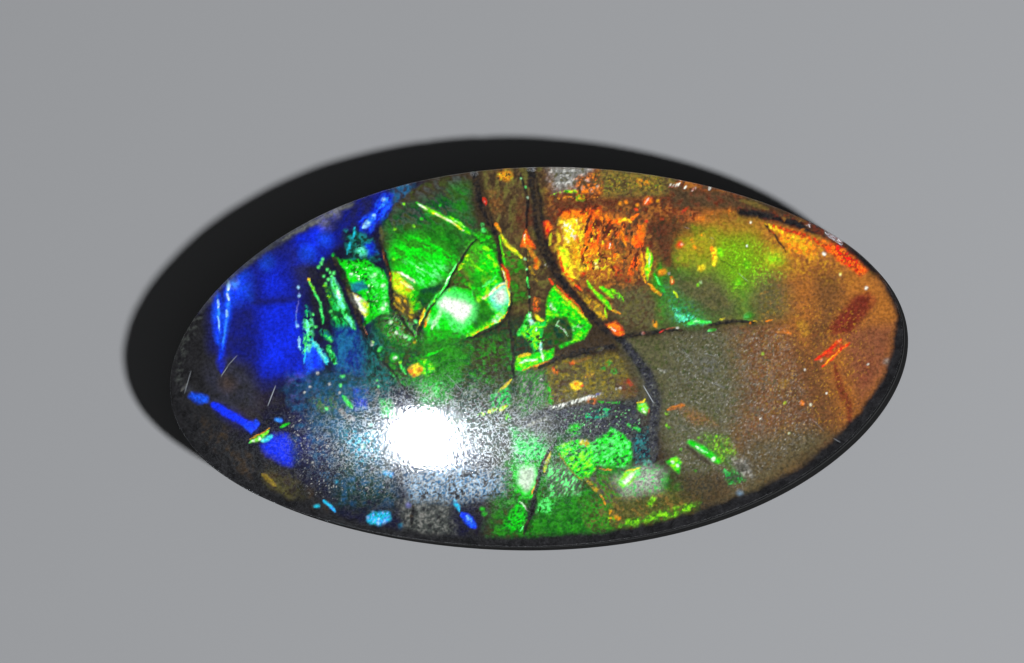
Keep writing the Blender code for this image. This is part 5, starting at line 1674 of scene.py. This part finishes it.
# %% Black shale
GRINDING_SCALE = 2500
GRINDING_DEPTH = 0.03 * MM
SHALE_ROUGHNESS = (0.60, 0.80)

shale, tree, shader = new_material("black_shale")
grinding = noise_texture(tree, GRINDING_SCALE, detail=4, stretch=(1, 1, 9))
feed(shader, {
    "Base Color": (0.005, 0.005, 0.005, 1),
    "Specular IOR Level": 0.015,
    "Roughness": map_range(tree, grinding, (0.3, 0.7), SHALE_ROUGHNESS),
    "Normal": bump(tree, grinding, 0.25, GRINDING_DEPTH),
})
base.data.materials.append(shale)
print(f"{shale.name}: {len(tree.nodes)} nodes")

# %% [markdown]
# The cap has been handled, and single hairline scratches cross it. Each one is a segment on the dome. A
# small node group measures how far a point of the surface is from a segment, and gives a mask that is
# full on the line and fades towards its two ends, so the material can use the group once per scratch.

# %% A node group for one hairline
HAIRLINE = bpy.data.node_groups.new("hairline", "ShaderNodeTree")
for name in ("Place", "Start", "End"):
    HAIRLINE.interface.new_socket(name, in_out="INPUT", socket_type="NodeSocketVector")
for name in ("Width", "Depth"):
    HAIRLINE.interface.new_socket(name, in_out="INPUT", socket_type="NodeSocketFloat")
HAIRLINE.interface.new_socket("Mask", in_out="OUTPUT", socket_type="NodeSocketFloat")


def vector_math(operation, first, second):
    """A vector node in the hairline group, with its two inputs linked."""
    second_name = "Scale" if operation == "SCALE" else 1
    node = add_node(HAIRLINE, "ShaderNodeVectorMath", {0: first, second_name: second}, operation=operation)
    return node.outputs["Value" if operation in ("DOT_PRODUCT", "DISTANCE") else "Vector"]


def number_math(operation, first, second):
    """A number node in the hairline group, kept between 0 and 1."""
    return compute(HAIRLINE, operation, first, second, clamp=True)


given = HAIRLINE.nodes.new("NodeGroupInput").outputs
run = vector_math("SUBTRACT", given["End"], given["Start"])
reached = vector_math("SUBTRACT", given["Place"], given["Start"])
projected, squared = vector_math("DOT_PRODUCT", reached, run), vector_math("DOT_PRODUCT", run, run)
share = number_math("DIVIDE", projected, squared)
distance = vector_math("DISTANCE", reached, vector_math("SCALE", run, share))
on_line = map_range(HAIRLINE, distance, (0, given["Width"]), (1, 0))
rise = number_math("MULTIPLY", share, number_math("SUBTRACT", 1.0, share))
taper = number_math("MULTIPLY", number_math("POWER", rise, 0.5), given["Depth"])
add_node(HAIRLINE, "NodeGroupOutput", {"Mask": number_math("MULTIPLY", on_line, taper)})
print(f"{HAIRLINE.name}: {len(HAIRLINE.nodes)} nodes")

# %% [markdown]
# The cap itself is clear and polished. Besides the hairlines it has a haze of finer ones, which lights up
# around any reflection: a rough clear coat, laid along the thin curved lines where a noise crosses its
# middle value, and weaker at the left end, which is less worn. The narrow edge under the dome was only
# ground, so its faces get a dull dark material of their own.

# %% Clear cap
HAIRLINE_WIDTH = 0.035 * MM
SCRATCHES = [
    ((-12.95, 0.0), (-12.6, 0.45), 1.2), ((-12.65, 0.42), (-12.2, 0.85), 1.0),
    ((-11.1, -1.35), (-10.7, -0.5), 1.8), ((-14.5, -0.6), (-14.15, 0.35), 1.0),
    ((-3.6, -0.55), (-2.85, -1.55), 0.8), ((4.45, -1.55), (4.85, -2.35), 2.0),
    ((6.15, -0.1), (6.75, -1.1), 0.6), ((7.1, -1.55), (7.9, -1.95), 0.6),
    ((7.0, -0.4), (7.6, -0.6), 0.5), ((6.6, 4.85), (6.85, 4.75), 0.8),
    ((7.65, 4.35), (7.8, 4.25), 0.8), ((8.7, 2.8), (9.1, 2.4), 0.8),
    ((12.15, -4.3), (12.45, -4.5), 0.8), ((11.3, -3.4), (11.8, -4.0), 0.5),
]
HAZE_SCALE = 6200
HAZE_LINE = 0.05
HAZE = (1.0, 0.12)
HAZE_ROUGHNESS = 0.24
HAZE_IOR = 1.9
WORN_FROM = (-10 * MM, -6 * MM)
WEAR = (0.35, 1.05)
UNEVEN_SCALE = 8000
UNEVEN_DEPTH = 0.0030 * MM
GROUND_SLOPE = 0.6

clear, tree, shader = new_material("clear_cap")
place = add_node(tree, "ShaderNodeTexCoord").outputs["Object"]
masks = []
for start, end, depth in SCRATCHES:
    ends = {"Place": place, "Start": on_dome(*start), "End": on_dome(*end)}
    line = add_node(tree, "ShaderNodeGroup", ends, node_tree=HAIRLINE)
    feed(line, {"Width": HAIRLINE_WIDTH, "Depth": depth})
    masks.append(line.outputs["Mask"])
scratched = masks[0]
for mask in masks[1:]:
    scratched = compute(tree, "MAXIMUM", scratched, mask)
off_middle = compute(tree, "SUBTRACT", noise_texture(tree, HAZE_SCALE, detail=3), 0.5)
arcs = map_range(tree, compute(tree, "ABSOLUTE", off_middle), (0, HAZE_LINE), HAZE)
along = add_node(tree, "ShaderNodeSeparateXYZ", {"Vector": place}).outputs["X"]
uneven = noise_texture(tree, UNEVEN_SCALE, detail=2)
feed(shader, {
    "Base Color": (1, 1, 1, 1),
    "IOR": CAP_IOR,
    "Transmission Weight": map_range(tree, scratched, (0, 1), (1.0, 0.35)),
    "Roughness": map_range(tree, scratched, (0, 1), (0.03, 0.5)),
    "Normal": bump(tree, uneven, 1.0, UNEVEN_DEPTH),
    "Coat Weight": compute(tree, "MULTIPLY", arcs, map_range(tree, along, WORN_FROM, WEAR)),
    "Coat Roughness": HAZE_ROUGHNESS,
    "Coat IOR": HAZE_IOR,
})
cap.data.materials.append(clear)
ground, tree, shader = new_material("ground_girdle")
feed(shader, {"Base Color": (0.01, 0.01, 0.01, 1), "Roughness": 0.7, "Specular IOR Level": 0.03})
cap.data.materials.append(ground)
for face in cap.data.polygons:
    face.material_index = int(abs(face.normal.z) < GROUND_SLOPE)
print(f"{len(SCRATCHES)} hairlines on the cap")

# %% [markdown]
# A plain pale floor, a small soft key light low at the right that throws the shadow to the upper left, and
# a weak even sky, which only looks lighter than it shines. One narrow card makes the bright glint on the
# dome, and its place follows from the law of reflection. Light linking keeps the two apart: the card
# lights the cap alone, so it doesn't wash out the shadow, and the key lights everything but the cap, so
# that there is only one glint.

# %% Floor and light
KEY_LEAN = (0.79, -0.59)
KEY_DISTANCE = 0.5
KEY_SIZE = 0.045
KEY_WATTS = 4.2
SKY = 0.06
BACKDROP = 0.40
GLINT = (-4.8, -3.1)
CARD_SIZE = (0.039, 0.17)
CARD_WATTS = 2.0
CARD_COLOUR = (0.80, 0.90, 1.0)

deselect_all()
bpy.ops.mesh.primitive_plane_add(size=4)
floor = bpy.context.object
floor.name = "floor"
pale, tree, shader = new_material("pale_floor")
feed(shader, {"Base Color": (0.255, 0.262, 0.275, 1), "Roughness": 0.9})
floor.data.materials.append(pale)


def area_light(name, toward, aim, distance, size, watts):
    """A soft oval card that faces a point from a direction."""
    bpy.ops.object.light_add(type="AREA", location=aim + toward.normalized() * distance)
    light = bpy.context.object
    light.name = name
    side = Vector((1, 0, 0)) - toward.x / toward.length_squared * toward
    axes = Matrix((side.normalized(), toward.cross(side).normalized(), toward.normalized())).transposed()
    light.rotation_euler = axes.to_euler()
    light.data.shape = "ELLIPSE"
    light.data.size, light.data.size_y = size
    light.data.energy = watts
    return light


stone_middle = Vector((0, 0, shell_high.z))
toward_key = Vector((*KEY_LEAN, 1))
key = area_light("key", toward_key, stone_middle, KEY_DISTANCE, (KEY_SIZE, KEY_SIZE), KEY_WATTS)
glint_point = on_dome(*GLINT)
glint_normal = Vector(dome_normal(np.array(glint_point.x), np.array(glint_point.y)))
to_eye = (camera_place - glint_point).normalized()
mirrored = 2 * to_eye.dot(glint_normal) * glint_normal - to_eye
card = area_light("glint_card", mirrored, glint_point, KEY_DISTANCE, CARD_SIZE, CARD_WATTS)
for light, lit in ((card, [cap]), (key, [base, floor, *shell_parts])):
    receivers = bpy.data.collections.new("lit_by_" + light.name)
    for piece in lit:
        receivers.objects.link(piece)
    light.light_linking.receiver_collection = receivers
card.data.color = CARD_COLOUR
sky = bpy.data.worlds.new("sky")
sky.use_nodes = True
tree = sky.node_tree
seen = add_node(tree, "ShaderNodeLightPath").outputs["Is Camera Ray"]
strength = map_range(tree, seen, (0, 1), (SKY, BACKDROP))
feed(tree.nodes["Background"], {"Strength": strength, "Color": (1, 1, 1, 1)})
bpy.context.scene.world = sky
print(f"glint from {tuple(round(part, 2) for part in mirrored)}")
